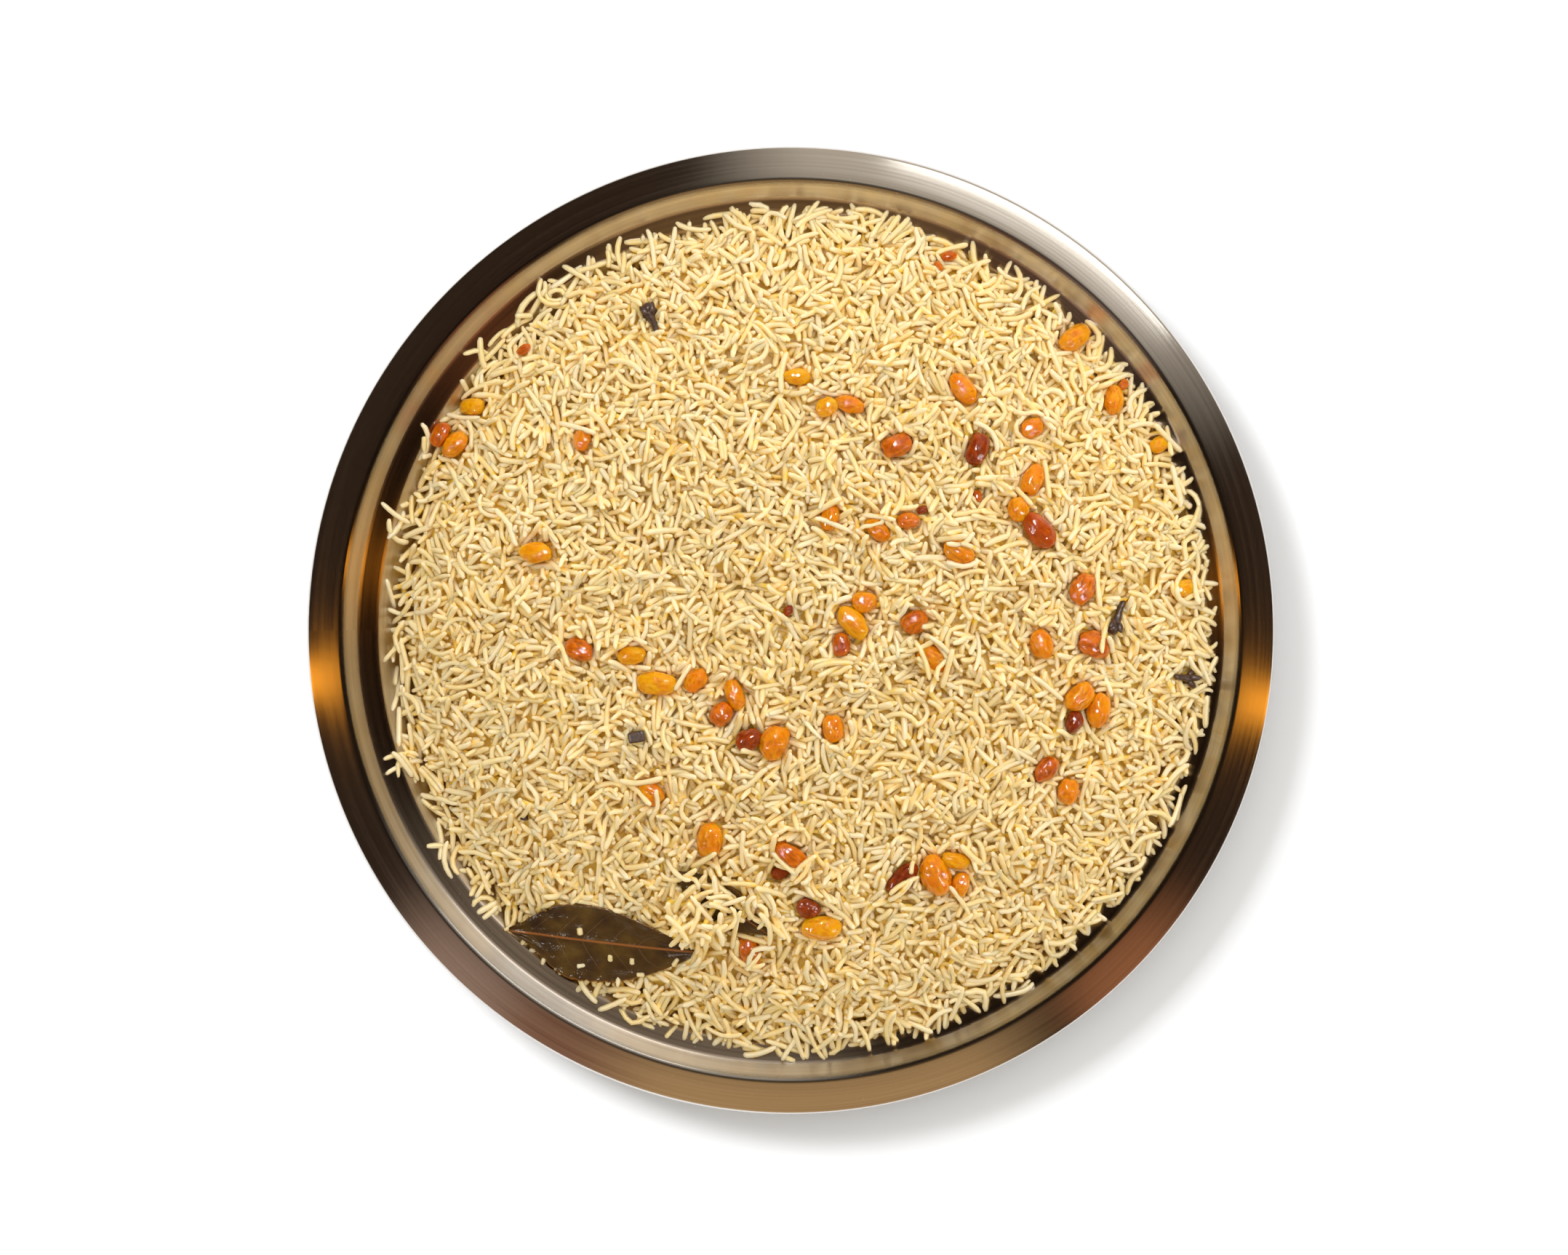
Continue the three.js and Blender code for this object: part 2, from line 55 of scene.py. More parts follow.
# The photo: straight down on the platter, its middle a little to one side of the platter's.
VIEW_WIDTH = 575.5 * MM  # what the photo's width spans at the height of the rim
CAMERA_HEIGHT = 1.25
CAMERA_OFFSET = (-2.5 * MM, 1 * MM)

# The map of heights.
CELL = 0.5 * MM
MAP_REACH = 165 * MM
COARSE_CELLS = 4  # the frame is read at every fourth cell
POCKET_BLUR = 2  # in coarse cells: closes the pockets that the toppings leave
SLOPE_BLUR = 8  # in cells
RAY_TOP = 0.2  # rays start here on their way down
RAY_BOTTOM = -0.1  # and here on their way up
TINY = 1e-5  # metres: as good as nothing
DISH_REACH = 177 * MM  # the platter's height is read this far out
OUTLINE_STEPS = 181
OUTLINE_RANGE = (120 * MM, 160 * MM, 0.25 * MM)  # the heap's least and most radius, and the step
NO_LIMIT = 1.0  # higher than anything here is

# The rice.
GRAIN_WIDTH = 2.25 * MM
GRAIN_FLATNESS = 0.88  # thickness over width
GRAIN_SIDES = 5
HALF_GRAIN = (0, 0.4, 0.74, 0.94, 1)  # places of a grain's rings from its middle to a tip
BLUNTNESS = 9  # of the tips
SINK = 0.85 * MM  # how far soft grains press into each other
RICE_DEPTH = 3.1 * MM  # how deep the loose grains lie over the core
SPILL_REACH = 5.5 * MM  # how far loose grains lie outside the heap
SPILL_DEPTH = 2.4 * MM
LUMP_HEIGHT = 1.1 * MM
LUMP_LENGTH = 26 * MM
LUMP_FADE = 20 * MM  # towards the heap's edge the lumps die away over this distance
SMALL_LUMPS = 0.6  # height of the small lumps against the large ones
SMALL_LUMP_LENGTH = 9 * MM
SHADE_DEPTH = 3.2 * MM  # rice this far under the surface takes the full painted shade of the gaps between grains
STEEPEST = 0.9  # slope of a grain that lies
DIVING_SHARE = 0.27  # grains that stick out of the heap with one end in it
DIVE_SLOPE = (0.25, 1.0)
DIVE_INSET = 8 * MM  # they keep this far from the heap's edge
DIVE_DROP = 0.8 * MM  # and their middle lies this much deeper
COMB_LENGTH = 20 * MM  # neighbours lie roughly alike over this distance
COMB_SPREAD = 0.6  # radians
WALL_RADIUS = 159.4 * MM  # the grains stay inside the platter's upper wall
TURNS = np.array([-0.4, 0.0, 0.4])  # a grain settles in the lowest of these headings about its own
TRIES = 42000
CHOICES = 4  # each try takes the lowest of this many places
LEVEL_SPREAD = (-0.9, 0.7)  # millimetres that a grain's middle may lie under or over the target
HOLE_DEPTH = 1.3 * MM  # places still this deep are filled after the rest
HOLE_INSET = 1 * MM  # not this close to the heap's edge
HOLE_RISE = 0.3 * MM  # their grains' middles may lie this far over the target
HOLE_ROUNDS = 3
HOLE_TRIES = 3500
HIDDEN_UNDER = 1.3 * MM  # a grain covered deeper than this along its whole length is left out
CORE_INSET = 7 * MM  # the core's edge lies this far inside the heap's
CORE_LIFT = 0.35 * MM  # of its top over the steel, where it is lowest
CORE_EDGE = 0.1 * MM  # its thickness there
CORE_RINGS = 24
CORE_TURNS = 96
GRAIN_LIFT = 0.05 * MM  # of the loose grains over the steel

# Kinds of grain: share, shortest and longest, least and most bend in degrees, wave in degrees.
GRAIN_KINDS = {
    "rice_straight": (0.14, 11.0, 15.0, 0, 16, 0),
    "rice_bowed": (0.22, 11.5, 16.5, 16, 40, 8),
    "rice_bent": (0.22, 11.5, 17.0, 40, 85, 14),
    "rice_wavy": (0.15, 12.0, 17.0, 10, 40, 60),
    "rice_hooked": (0.10, 12.0, 16.5, 85, 150, 16),
    "rice_curled": (0.03, 11.5, 16.0, 150, 230, 10),
    "rice_broken": (0.13, 4.5, 9.5, 0, 30, 0),
    "rice_crumbs": (0.01, 2.4, 3.6, 0, 20, 0),
}

# Single places read from the photo: x and y in millimetres.
LEAF_CRUMBS = [(-77, -110), (-77, -123), (-66, -120), (-58, -121), (-55, -126), (-42, -121)]
# Where the buried leaf shows between the grains: x, y and radius.
LEAF_GLIMPSES = [(-39, -92, 1.8), (-31, -97, 0.6), (-27, -102, 0.8), (-13, -102, 0.4)]
LEAF_GLIMPSES += [(-22, -109, 1.4), (-16, -109, 2.2), (-10, -110, 1.6)]
GLIMPSE_MARGIN = 0.8 * MM  # added to the radius, as grains are thick
LEAF_TRIES = 340
LEAF_RISE = 1.5 * MM  # grains on the leaf may lie this far over it
# Small bits of fruit and spice: x, y, length, width, turn in degrees.
RED_SCRAPS = [(42, 39, 8, 6, 0), (-98, 103, 6, 3.6, 30), (122, 90, 5, 3.4, 50)]
RED_SCRAPS += [(67, 48, 4.6, 3.2, 90), (58, 137, 6, 3.6, 20), (54, 133, 4.4, 3, 110)]
DARK_SCRAPS = [(-4, -87, 6.6, 5.4, 20), (6, -100, 9, 7.5, 150), (-1, 7, 4.4, 3.2, 60), (47, 43, 4.4, 3, 20)]
BLACK_SCRAPS = [(-55, -38, 6, 4, 10), (-97, -68, 2.6, 2, 0)]
# Sultanas that grains half cover, by where they lie.
HALF_COVERED = [(60, 28), (51, -10), (31, 36), (14, 40), (144, 15), (0, -81), (-15, -116), (40, -89)]
HALF_COVERED += [(-50, -58)]
DEEPEST = (89, 36)  # the smooth sultana that is a much deeper red than the others
NEAR = 3  # a sultana whose middle is this near to such a place is the one meant
STALK_SHARE = 0.4  # sultanas with a dark dot where the stalk was
# Grains over a sultana: tries, nearest and furthest from its middle, and height, as shares of its size.
OVER_BURIED = (9, 0.6, 1.1, 0.8)
OVER_OPEN = (2, 1.05, 1.3, 0.2)


# ------------------------------------------------------------------ map of heights

AXIS = np.arange(-MAP_REACH, MAP_REACH + CELL / 2, CELL)
COARSE = AXIS[::COARSE_CELLS]
MAP_X, MAP_Y = np.meshgrid(AXIS, AXIS, indexing="ij")
MAP_RADIUS = np.hypot(MAP_X, MAP_Y)
MAP_ANGLE = np.arctan2(MAP_Y, MAP_X)


def cells(x, y):
    """Where on the map the points lie."""
    last = len(AXIS) - 1
    i = np.clip(np.rint((x + MAP_REACH) / CELL).astype(int), 0, last)
    j = np.clip(np.rint((y + MAP_REACH) / CELL).astype(int), 0, last)
    return i, j


def tree_of(mesh):
    corners = [v.co for v in mesh.vertices]
    return BVHTree.FromPolygons(corners, [p.vertices for p in mesh.polygons])


def top_height(tree, x, y):
    hit = tree.ray_cast(Vector((x, y, RAY_TOP)), Vector((0, 0, -1)))[0]
    return hit.z if hit else math.nan


def under_height(tree, x, y):
    hit = tree.ray_cast(Vector((x, y, RAY_BOTTOM)), Vector((0, 0, 1)))[0]
    return hit.z if hit else math.nan


def blurred(field, radius):
    """The field smoothed by a bell curve of that radius, in its own cells."""
    frequency = np.fft.fftfreq(field.shape[0])
    bell = np.exp(-2 * (math.pi * radius * frequency) ** 2)
    return np.real(np.fft.ifft2(np.fft.fft2(field) * np.outer(bell, bell)))


def refined(field):
    """A coarse field brought to the map's own cells."""
    rows = np.array([np.interp(AXIS, COARSE, row) for row in field])
    return np.array([np.interp(AXIS, COARSE, column) for column in rows.T]).T


def waves(x, y, length, seed):
    """Smooth random hills from -1 to 1, about that long."""
    random = np.random.default_rng(seed)
    total = np.zeros_like(x)
    count = 10
    for _ in range(count):
        heading, phase = random.uniform(0, 2 * math.pi, 2)
        pitch = 2 * math.pi / (length * random.uniform(0.7, 1.5))
        total += np.sin(pitch * (x * math.cos(heading) + y * math.sin(heading)) + phase)
    return total / math.sqrt(count)


def dish_heights():
    """The platter's upper face over the whole map, from its height along one radius."""
    tree = tree_of(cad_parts["dish"].data)
    radii = np.arange(CELL, DISH_REACH, CELL)
    heights = [top_height(tree, r, TINY) for r in radii]
    return np.interp(MAP_RADIUS, radii, heights)


def heap_heights():
    """The frame's heap without the toppings' pockets, how far cells are outside it, its outline."""
    tree = tree_of(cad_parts["rice_heap"].data)
    tops = np.array([[top_height(tree, x, y) for y in COARSE] for x in COARSE])
    covered = np.isfinite(tops).astype(float)
    share = blurred(covered, POCKET_BLUR)
    total = blurred(np.nan_to_num(tops), POCKET_BLUR)
    heap = refined(total / np.maximum(share, 0.05))
    share = refined(share)
    angles = np.linspace(-math.pi, math.pi, OUTLINE_STEPS)
    radii = np.arange(*OUTLINE_RANGE)
    outline = []
    for angle in angles:
        i, j = cells(radii * math.cos(angle), radii * math.sin(angle))
        outline.append(radii[np.argmax(share[i, j] < 0.5)])
    outside = MAP_RADIUS - np.interp(MAP_ANGLE, angles, outline)
    return heap, outside, angles, np.array(outline)


def target_heights():
    """Where the rice's top should be: the heap and its spilt edge, with lumps."""
    edge = np.clip(1 - OUTSIDE / SPILL_REACH, 0, 1)
    target = np.where(OUTSIDE < 0, np.maximum(HEAP, DISH + SPILL_DEPTH), DISH + SPILL_DEPTH * edge)
    lumps = LUMP_HEIGHT * waves(MAP_X, MAP_Y, LUMP_LENGTH, 5)
    target = target + lumps * np.clip(-OUTSIDE / LUMP_FADE, 0, 1)
    small = SMALL_LUMPS * LUMP_HEIGHT * waves(MAP_X, MAP_Y, SMALL_LUMP_LENGTH, 6)
    return target + small * np.clip(1 + edge * 0.5, 0, 2)


DISH = dish_heights()
HEAP, OUTSIDE, OUTLINE_ANGLES, OUTLINE = heap_heights()
TARGET = target_heights()
SLOPE_X, SLOPE_Y = np.gradient(blurred(TARGET, SLOPE_BLUR), CELL)


# ------------------------------------------------------------------ meshes and materials


def make_object(name, vertices, faces, material, smooth=True):
    mesh = bpy.data.meshes.new(name)
    mesh.from_pydata(np.asarray(vertices).tolist(), [], faces)
    mesh.polygons.foreach_set("use_smooth", [smooth] * len(mesh.polygons))
    mesh.materials.append(material)
    mesh.update()
    piece = bpy.data.objects.new(name, mesh)
    bpy.context.scene.collection.objects.link(piece)
    return piece


def joined(parts):
    """Corners and faces of several shapes as one."""
    corners, faces, count = [], [], 0
    for shape, pattern in parts:
        corners.append(shape)
        faces += [tuple(count + v for v in face) for face in pattern]
        count += len(shape)
    return np.vstack(corners), faces


def tube_faces(count, sides):
    """Faces of a closed form of count rings, the first and last of them single points."""
    faces = []
    last = 1 + (count - 2) * sides
    for turn in range(sides):
        onward = (turn + 1) % sides
        faces.append((0, 1 + onward, 1 + turn))
        for ring in range(count - 3):
            here = 1 + ring * sides
            there = here + sides
            faces.append((here + turn, here + onward, there + onward, there + turn))
        here = last - sides
        faces.append((here + turn, here + onward, last))
    return faces


def round_form(first, rings, last):
    """Corners and faces of a form about the upright axis, from its top point to its lowest."""
    rings = np.asarray(rings)
    return np.vstack([[first], rings.reshape(-1, 3), [last]]), tube_faces(len(rings) + 2, rings.shape[1])


def add_values(piece, **fields):
    """One number for each vertex, under each name, for the material to read."""
    for name, values in fields.items():
        attribute = piece.data.attributes.new(name, "FLOAT", "POINT")
        attribute.data.foreach_set("value", np.asarray(values, np.float32).ravel())


def stand_in(piece, slot, *nodes):
    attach(piece, "root")
    if nodes:
        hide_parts(*nodes)
    return piece


class Nodes:
    """A tree of shader nodes, made a node at a time."""

    def __init__(self, tree):
        self.tree = tree

    def node(self, kind, **settings):
        made = self.tree.nodes.new(kind)
        for name, value in settings.items():
            setattr(made, name, value)
        return made

    def link(self, source, target):
        self.tree.links.new(source, target)

    def feed(self, source, target):
        """Sets a socket to a number or a colour, or links it to another socket."""
        if isinstance(source, (int, float)):
            target.default_value = source
        elif isinstance(source, tuple):
            target.default_value = (*source, 1)
        else:
            self.link(source, target)

    def maths(self, operation, *values):
        made = self.node("ShaderNodeMath", operation=operation)
        for value, socket in zip(values, made.inputs):
            self.feed(value, socket)
        return made.outputs[0]

    def ramp(self, factor, *stops):
        """Colours, or greys, at places from 0 to 1."""
        made = self.node("ShaderNodeValToRGB")
        points = made.color_ramp.elements
        while len(points) < len(stops):
            points.new(0.5)
        for point, (at, colour) in zip(points, stops):
            point.position = at
            point.color = (*colour, 1) if isinstance(colour, tuple) else (colour, colour, colour, 1)
        self.link(factor, made.inputs["Fac"])
        return made.outputs["Color"]


class Shader(Nodes):
    """A material, around its one surface node."""

    def __init__(self, name):
        self.material = bpy.data.materials.new(name)
        self.material.use_nodes = True
        super().__init__(self.material.node_tree)
        self.surface = self.tree.nodes["Principled BSDF"]

    def set(self, **values):
        """Values of the surface's own sockets, with _ for each space in their names."""
        for name, value in values.items():
            self.surface.inputs[name.replace("_", " ")].default_value = value

    def value(self, name):
        """A number that the mesh holds for each vertex."""
        return self.node("ShaderNodeAttribute", attribute_name=name).outputs["Fac"]

    def place(self):
        return self.node("ShaderNodeTexCoord").outputs["Object"]

    def noise(self, size, detail=2.0, at=None):
        """Random cloudiness from 0 to 1 with clouds of that size."""
        made = self.node("ShaderNodeTexNoise")
        made.inputs["Scale"].default_value = 1 / size
        made.inputs["Detail"].default_value = detail
        self.link(at or self.place(), made.inputs["Vector"])
        return made.outputs["Fac"]

    def mix(self, factor, first, second, blend="MIX"):
        made = self.node("ShaderNodeMix", data_type="RGBA", blend_type=blend)
        for slot, source in ((0, factor), (6, first), (7, second)):
            self.feed(source, made.inputs[slot])
        return made.outputs[2]

    def bump(self, height, depth, strength=1.0, coated=False):
        made = self.node("ShaderNodeBump")
        made.inputs["Distance"].default_value = depth
        made.inputs["Strength"].default_value = strength
        self.link(height, made.inputs["Height"])
        self.link(made.outputs["Normal"], self.surface.inputs["Normal"])
        if coated:
            self.link(made.outputs["Normal"], self.surface.inputs["Coat Normal"])

    def colour(self, source):
        self.link(source, self.surface.inputs["Base Color"])


# Painted shade: the saturated yellow of the gaps between grains, given to deeper rice and to the core.
PAINTED_GAP_SHADE = (1.0, 0.72, 0.08)
SAFFRON = (0.95, 0.60, 0.06)
STALK = (0.05, 0.012, 0.004)
BRUSHING = 1.6 * MM  # brush marks are this long in a radian, so they run round the platter
# Roughness of the steel by its radius, as a share of the rim's.
STEEL_ROUGHNESS = [(0.0, 0.3), (0.848, 0.4), (0.856, 0.17), (0.893, 0.17), (0.898, 0.40)]
STEEL_ROUGHNESS += [(0.917, 0.36), (0.925, 0.13), (0.934, 0.17), (1.0, 0.17)]
# How bright it is by its radius, painted to set how bright its reflections come out: darker and browner on
# the ledge, darkest on the crest, a little dark on the rim.
PAINTED_STEEL_SHINE = [(0.848, 1.0), (0.856, (0.56, 0.48, 0.40)), (0.889, (0.60, 0.52, 0.45)), (0.897, 1.0)]
PAINTED_STEEL_SHINE += [(0.916, 1.0), (0.920, 0.5), (0.928, 0.5), (0.934, 0.8)]


def rice_material():
    """Cooked rice: cloudy and moist, creamy, with painted shade in saturated yellow where it lies deeper
    between the grains.
    """
    shader = Shader("rice")
    grain = shader.ramp(
        shader.value("tone"),
        (0.0, (0.94, 0.71, 0.28)),
        (0.3, (0.94, 0.75, 0.34)),
        (0.7, (0.94, 0.78, 0.42)),
        (1.0, (0.95, 0.82, 0.52)),
    )
    cloud = shader.ramp(shader.noise(2.2 * MM, 3), (0.35, 0.0), (0.7, 1.0))
    pale = shader.mix(shader.maths("MULTIPLY", cloud, 0.4), grain, (0.95, 0.85, 0.66))
    tip = shader.maths("MULTIPLY", shader.value("tip"), 0.3)
    whole = shader.mix(tip, pale, (0.95, 0.86, 0.70))
    dyed = shader.ramp(shader.noise(7 * MM, 1), (0.72, 0.0), (0.76, 0.75))
    # Painted shade: rice deeper under the heap's top takes the gap colour; the saffron patches are real
    # dye.
    shader.colour(shader.mix(dyed, shader.mix(shader.value("depth"), whole, PAINTED_GAP_SHADE), SAFFRON))
    shader.set(
        Roughness=0.4,
        Specular_IOR_Level=0.2,
        Subsurface_Weight=1.0,
        Subsurface_Radius=(1.0, 0.85, 0.6),
        Subsurface_Scale=2 * MM,
        Coat_Weight=0.12,
        Coat_Roughness=0.18,
    )
    shader.surface.subsurface_method = "BURLEY"
    shader.bump(shader.noise(0.8 * MM, 3), 0.06 * MM, 0.5)
    return shader.material


def core_material():
    """What shows between the grains: more rice, coloured as painted shade in saturated yellow."""
    shader = Shader("rice_core")
    # Painted shade: the gap colour, a little varied at random.
    shader.colour(shader.ramp(shader.noise(4 * MM, 4), (0.3, PAINTED_GAP_SHADE), (0.7, (1.0, 0.74, 0.16))))
    shader.set(Roughness=0.5)
    shader.bump(shader.noise(2.2 * MM, 3), 1.0 * MM, 0.6)
    return shader.material


def fruit_material(name, thick, thin, deep):
    """Sultana skin: glossy, with paler juice showing through, random dark blemishes and painted shade in
    the folds.
    """
    shader = Shader(name)
    cloud = shader.ramp(shader.noise(3.2 * MM, 3), (0.36, 0.0), (0.66, 0.6))
    share = shader.maths("ADD", cloud, shader.maths("MULTIPLY", shader.value("tone"), 0.4))
    body = shader.mix(share, thick, thin)
    # Painted shade: the folds are darkened towards the fold colour, which also colours random blemishes.
    fold = shader.maths("MULTIPLY", shader.value("fold"), 0.45)
    blemish = shader.ramp(shader.noise(1.6 * MM, 2), (0.66, 0.0), (0.74, 0.5))
    fold_shaded_and_blemished = shader.mix(blemish, shader.mix(fold, body, deep), deep)
    shader.colour(shader.mix(shader.value("stem"), fold_shaded_and_blemished, STALK))
    shader.set(
        Roughness=0.26,
        Subsurface_Weight=0.8,
        Subsurface_Radius=(1.0, 0.35, 0.06),
        Subsurface_Scale=3 * MM,
        Coat_Weight=1.0,
        Coat_Roughness=0.04,
        Specular_IOR_Level=0.1,
    )
    shader.bump(shader.noise(1.4 * MM, 3), 0.4 * MM, 0.6, coated=True)
    return shader.material


def spice_material():
    shader = Shader("clove")
    grain = shader.noise(0.9 * MM, 4)
    browns = (0.3, (0.035, 0.014, 0.008)), (0.62, (0.10, 0.04, 0.018)), (0.8, (0.2, 0.09, 0.04))
    shader.colour(shader.ramp(grain, *browns))
    shader.set(Roughness=0.42, Coat_Weight=0.2, Coat_Roughness=0.25)
    shader.bump(grain, 0.25 * MM, 0.8)
    return shader.material


def leaf_material():
    """A cooked bay leaf: dark brown, moist and pebbled, with a red-brown midrib and pale side veins."""
    shader = Shader("bay_leaf")
    along, out = shader.value("along"), shader.maths("ABSOLUTE", shader.value("out"))
    blade = shader.ramp(
        shader.noise(11 * MM, 4),
        (0.30, (0.034, 0.013, 0.002)),
        (0.52, (0.085, 0.040, 0.004)),
        (0.78, (0.17, 0.095, 0.010)),
    )
    waver = shader.maths("MULTIPLY", shader.noise(14 * MM, 1), 0.35)
    arch = shader.maths("MULTIPLY", shader.maths("POWER", out, 1.3), -1.1)
    order = shader.maths("ADD", shader.maths("MULTIPLY_ADD", along, VEIN_PAIRS, waver), arch)
    wave = shader.maths("COSINE", shader.maths("MULTIPLY", order, 2 * math.pi))
    fading = shader.ramp(out, (0.45, 0.8), (0.92, 0.0))
    side = shader.maths("MULTIPLY", shader.ramp(wave, (0.992, 0.0), (0.999, 1.0)), fading)
    midrib = shader.ramp(shader.value("midrib"), (0.0035, 1.0), (0.006, 0.0))
    veined = shader.mix(side, blade, (0.17, 0.085, 0.028))
    edged = shader.mix(shader.ramp(out, (0.955, 0.0), (0.985, 1.0)), veined, (0.30, 0.12, 0.02))
    shader.colour(shader.mix(midrib, edged, (0.36, 0.12, 0.025)))
    shader.set(Roughness=0.5, Coat_Weight=0.6, Coat_Roughness=0.07, Specular_IOR_Level=0.1)
    pebbles = shader.maths("ADD", shader.noise(0.7 * MM, 2), shader.maths("MULTIPLY", side, 0.6))
    shader.bump(pebbles, 0.25 * MM, 0.7, coated=True)
    return shader.material


def steel_material():
    """Spun stainless steel: rim and ledge brushed round and round, walls and crest smoother."""
    shader = Shader("steel")
    parts = shader.node("ShaderNodeSeparateXYZ")
    shader.link(shader.place(), parts.inputs[0])
    x, y = parts.outputs[0], parts.outputs[1]
    squares = shader.maths("ADD", shader.maths("MULTIPLY", x, x), shader.maths("MULTIPLY", y, y))
    radius = shader.maths("SQRT", squares)
    along = shader.node("ShaderNodeCombineXYZ")
    shader.link(radius, along.inputs[0])
    shader.link(shader.maths("MULTIPLY", shader.maths("ARCTAN2", y, x), BRUSHING), along.inputs[1])
    lines = shader.noise(1.3 * MM, 5, along.outputs[0])
    share = shader.maths("DIVIDE", radius, RIM_RADIUS)
    streak = shader.maths("MULTIPLY", shader.maths("SUBTRACT", lines, 0.5), 0.16)
    rough = shader.maths("ADD", shader.ramp(share, *STEEL_ROUGHNESS), streak)
    shader.link(rough, shader.surface.inputs["Roughness"])
    tint = shader.ramp(lines, (0.32, (0.75, 0.70, 0.65)), (0.68, (0.97, 0.94, 0.89)))
    # Painted reflection tint: darker and browner on the ledge, darker on the crest and rim.
    tint = shader.mix(1.0, tint, shader.ramp(share, *PAINTED_STEEL_SHINE), "MULTIPLY")
    speck = shader.ramp(shader.noise(1.0 * MM, 1), (0.74, 0.0), (0.77, 0.5))
    shader.colour(shader.mix(speck, tint, (0.9, 0.85, 0.75)))
    tangent = shader.node("ShaderNodeTangent", direction_type="RADIAL", axis="Z")
    shader.link(tangent.outputs[0], shader.surface.inputs["Tangent"])
    shader.set(Metallic=1.0, Anisotropic=0.88, Anisotropic_Rotation=0.25)
    shader.bump(lines, 0.04 * MM, 0.3)
    return shader.material


# ------------------------------------------------------------------ platter

RIM_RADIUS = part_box("dish")[1].x
DISH_TURNS = 256
CORNER_RADIUS = 1.1 * MM


def section_of(name):
    """The node's outline in the half-plane y = 0, x >= 0, from the axis round and back to it."""
    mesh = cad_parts[name].data
    spots = [tuple(round(value, 5) + 0.0 for value in v.co) for v in mesh.vertices]
    links = {}
    for edge in mesh.edges:
        ends = [spots[v] for v in edge.vertices]
        if ends[0] != ends[1] and all(abs(y) < TINY and x > -TINY for x, y, z in ends):
            for here, there in (ends, ends[::-1]):
                links.setdefault(here, set()).add(there)
    path = [max((spot for spot in links if spot[0] < TINY), key=lambda spot: spot[2])]
    while True:
        onwards = sorted(spot for spot in links[path[-1]] if spot not in path)
        if not onwards:
            return [np.array((x, z)) for x, _, z in path]
        path.append(onwards[0])


def rounded(points, radius):
    """The open path with each of its corners turned into a short curve."""
    path = [points[0]]
    for before, corner, after in zip(points, points[1:], points[2:]):
        arms = [end - corner for end in (before, after)]
        lengths = [np.linalg.norm(arm) for arm in arms]
        start, end = (corner + arm * min(radius / length, 0.45) for arm, length in zip(arms, lengths))
        for t in (0.0, 0.33, 0.67, 1.0):
            path.append((1 - t) ** 2 * start + 2 * t * (1 - t) * corner + t * t * end)
    return np.array([*path, points[-1]])


def lathe(section, turns):
    """Corners and faces of a section turned about the axis, its first and last points on it."""
    angles = np.linspace(0, 2 * math.pi, turns, endpoint=False)[::-1]
    rings = [[(r * math.cos(angle), r * math.sin(angle), z) for angle in angles] for r, z in section[1:-1]]
    return round_form((0, 0, section[0][1]), rings, (0, 0, section[-1][1]))


def make_dish():
    corners, faces = lathe(rounded(section_of("dish"), CORNER_RADIUS), DISH_TURNS)
    piece = make_object("steel_platter", corners, faces, steel_material())
    return stand_in(piece, "steel", "dish")


# ------------------------------------------------------------------ toppings

FRUIT_TURNS = 38
FRUIT_BANDS = 25
FRUIT_DENTS = 0.13  # how uneven a sultana is, as a share of its size
STALK_SIZE = 0.17
SMOOTHED = 0.4
SCRAP_THICKNESS = 0.8  # over width


def solid_moments(mesh):
    """Middle of a closed mesh's volume, and the spread of the volume about it."""
    mesh.calc_loop_triangles()
    corners = np.array([[mesh.vertices[v].co for v in t.vertices] for t in mesh.loop_triangles], float)
    volumes = np.einsum("ij,ij->i", corners[:, 0], np.cross(corners[:, 1], corners[:, 2])) / 6
    sums = corners.sum(axis=1)
    total = volumes.sum()
    middle = (volumes[:, None] * sums).sum(axis=0) / (4 * total)
    second = np.einsum("i,ij,ik->jk", volumes, sums, sums)
    second += np.einsum("i,icj,ick->jk", volumes, corners, corners)
    return middle, second / (20 * total) - np.outer(middle, middle)


def oval_of(name):
    """Middle, half-sizes and axes (longest first) of the oval that fits the node."""
    middle, spread = solid_moments(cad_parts[name].data)
    values, axes = np.linalg.eigh(spread)
    return middle, np.sqrt(5 * values[::-1]), axes[:, ::-1].T


def fruit_shape(halves, wrinkling, stalk, seed):
    """A wrinkled oval about the origin, its longest half-size along x: corners, folds and stem dot."""
    along = np.linspace(0, math.pi, FRUIT_BANDS + 1)[1:-1]
    around = np.linspace(0, 2 * math.pi, FRUIT_TURNS, endpoint=False)
    bands, turns = np.meshgrid(along, around, indexing="ij")
    girth = np.sin(bands) ** 0.87
    length = -np.sign(np.cos(bands)) * np.abs(np.cos(bands)) ** 0.96
    unit = np.stack([length, girth * np.cos(turns), girth * np.sin(turns)], axis=-1).reshape(-1, 3)
    unit = np.vstack([[(-1, 0, 0)], unit, [(1, 0, 0)]])
    shift = Vector((seed * 3.7, seed * 1.3, seed * 2.9))
    folds = []
    dents = []
    for point in unit:
        at = Vector(point)
        long = noise.noise(Vector((at.x * 0.9, at.y * 2.3, at.z * 2.3)) + shift)
        fine = noise.noise(Vector((at.x * 2.2, at.y * 4.6, at.z * 4.6)) - shift)
        folds.append(math.exp(-((long / 0.09) ** 2)) + 0.45 * math.exp(-((fine / 0.1) ** 2)))
        dents.append(noise.noise(at * 1.3 + shift * 2))
    folds = np.array(folds) * np.clip(1.3 - abs(unit[:, 0]), 0.2, 1)
    stem = np.exp(-((np.hypot(unit[:, 1], unit[:, 2]) / STALK_SIZE) ** 2)) * (unit[:, 0] > 0) * stalk
    size = 1 + FRUIT_DENTS * np.array(dents) - wrinkling * folds
    size -= 0.1 * stem
    return unit * halves * size[:, None], np.clip(folds, 0, 1), np.clip(1.6 * stem, 0, 1)


def is_near(middle, spot):
    """Whether a sultana's middle lies at a place of the photo."""
    return math.hypot(*(middle[:2] / MM - spot)) < NEAR


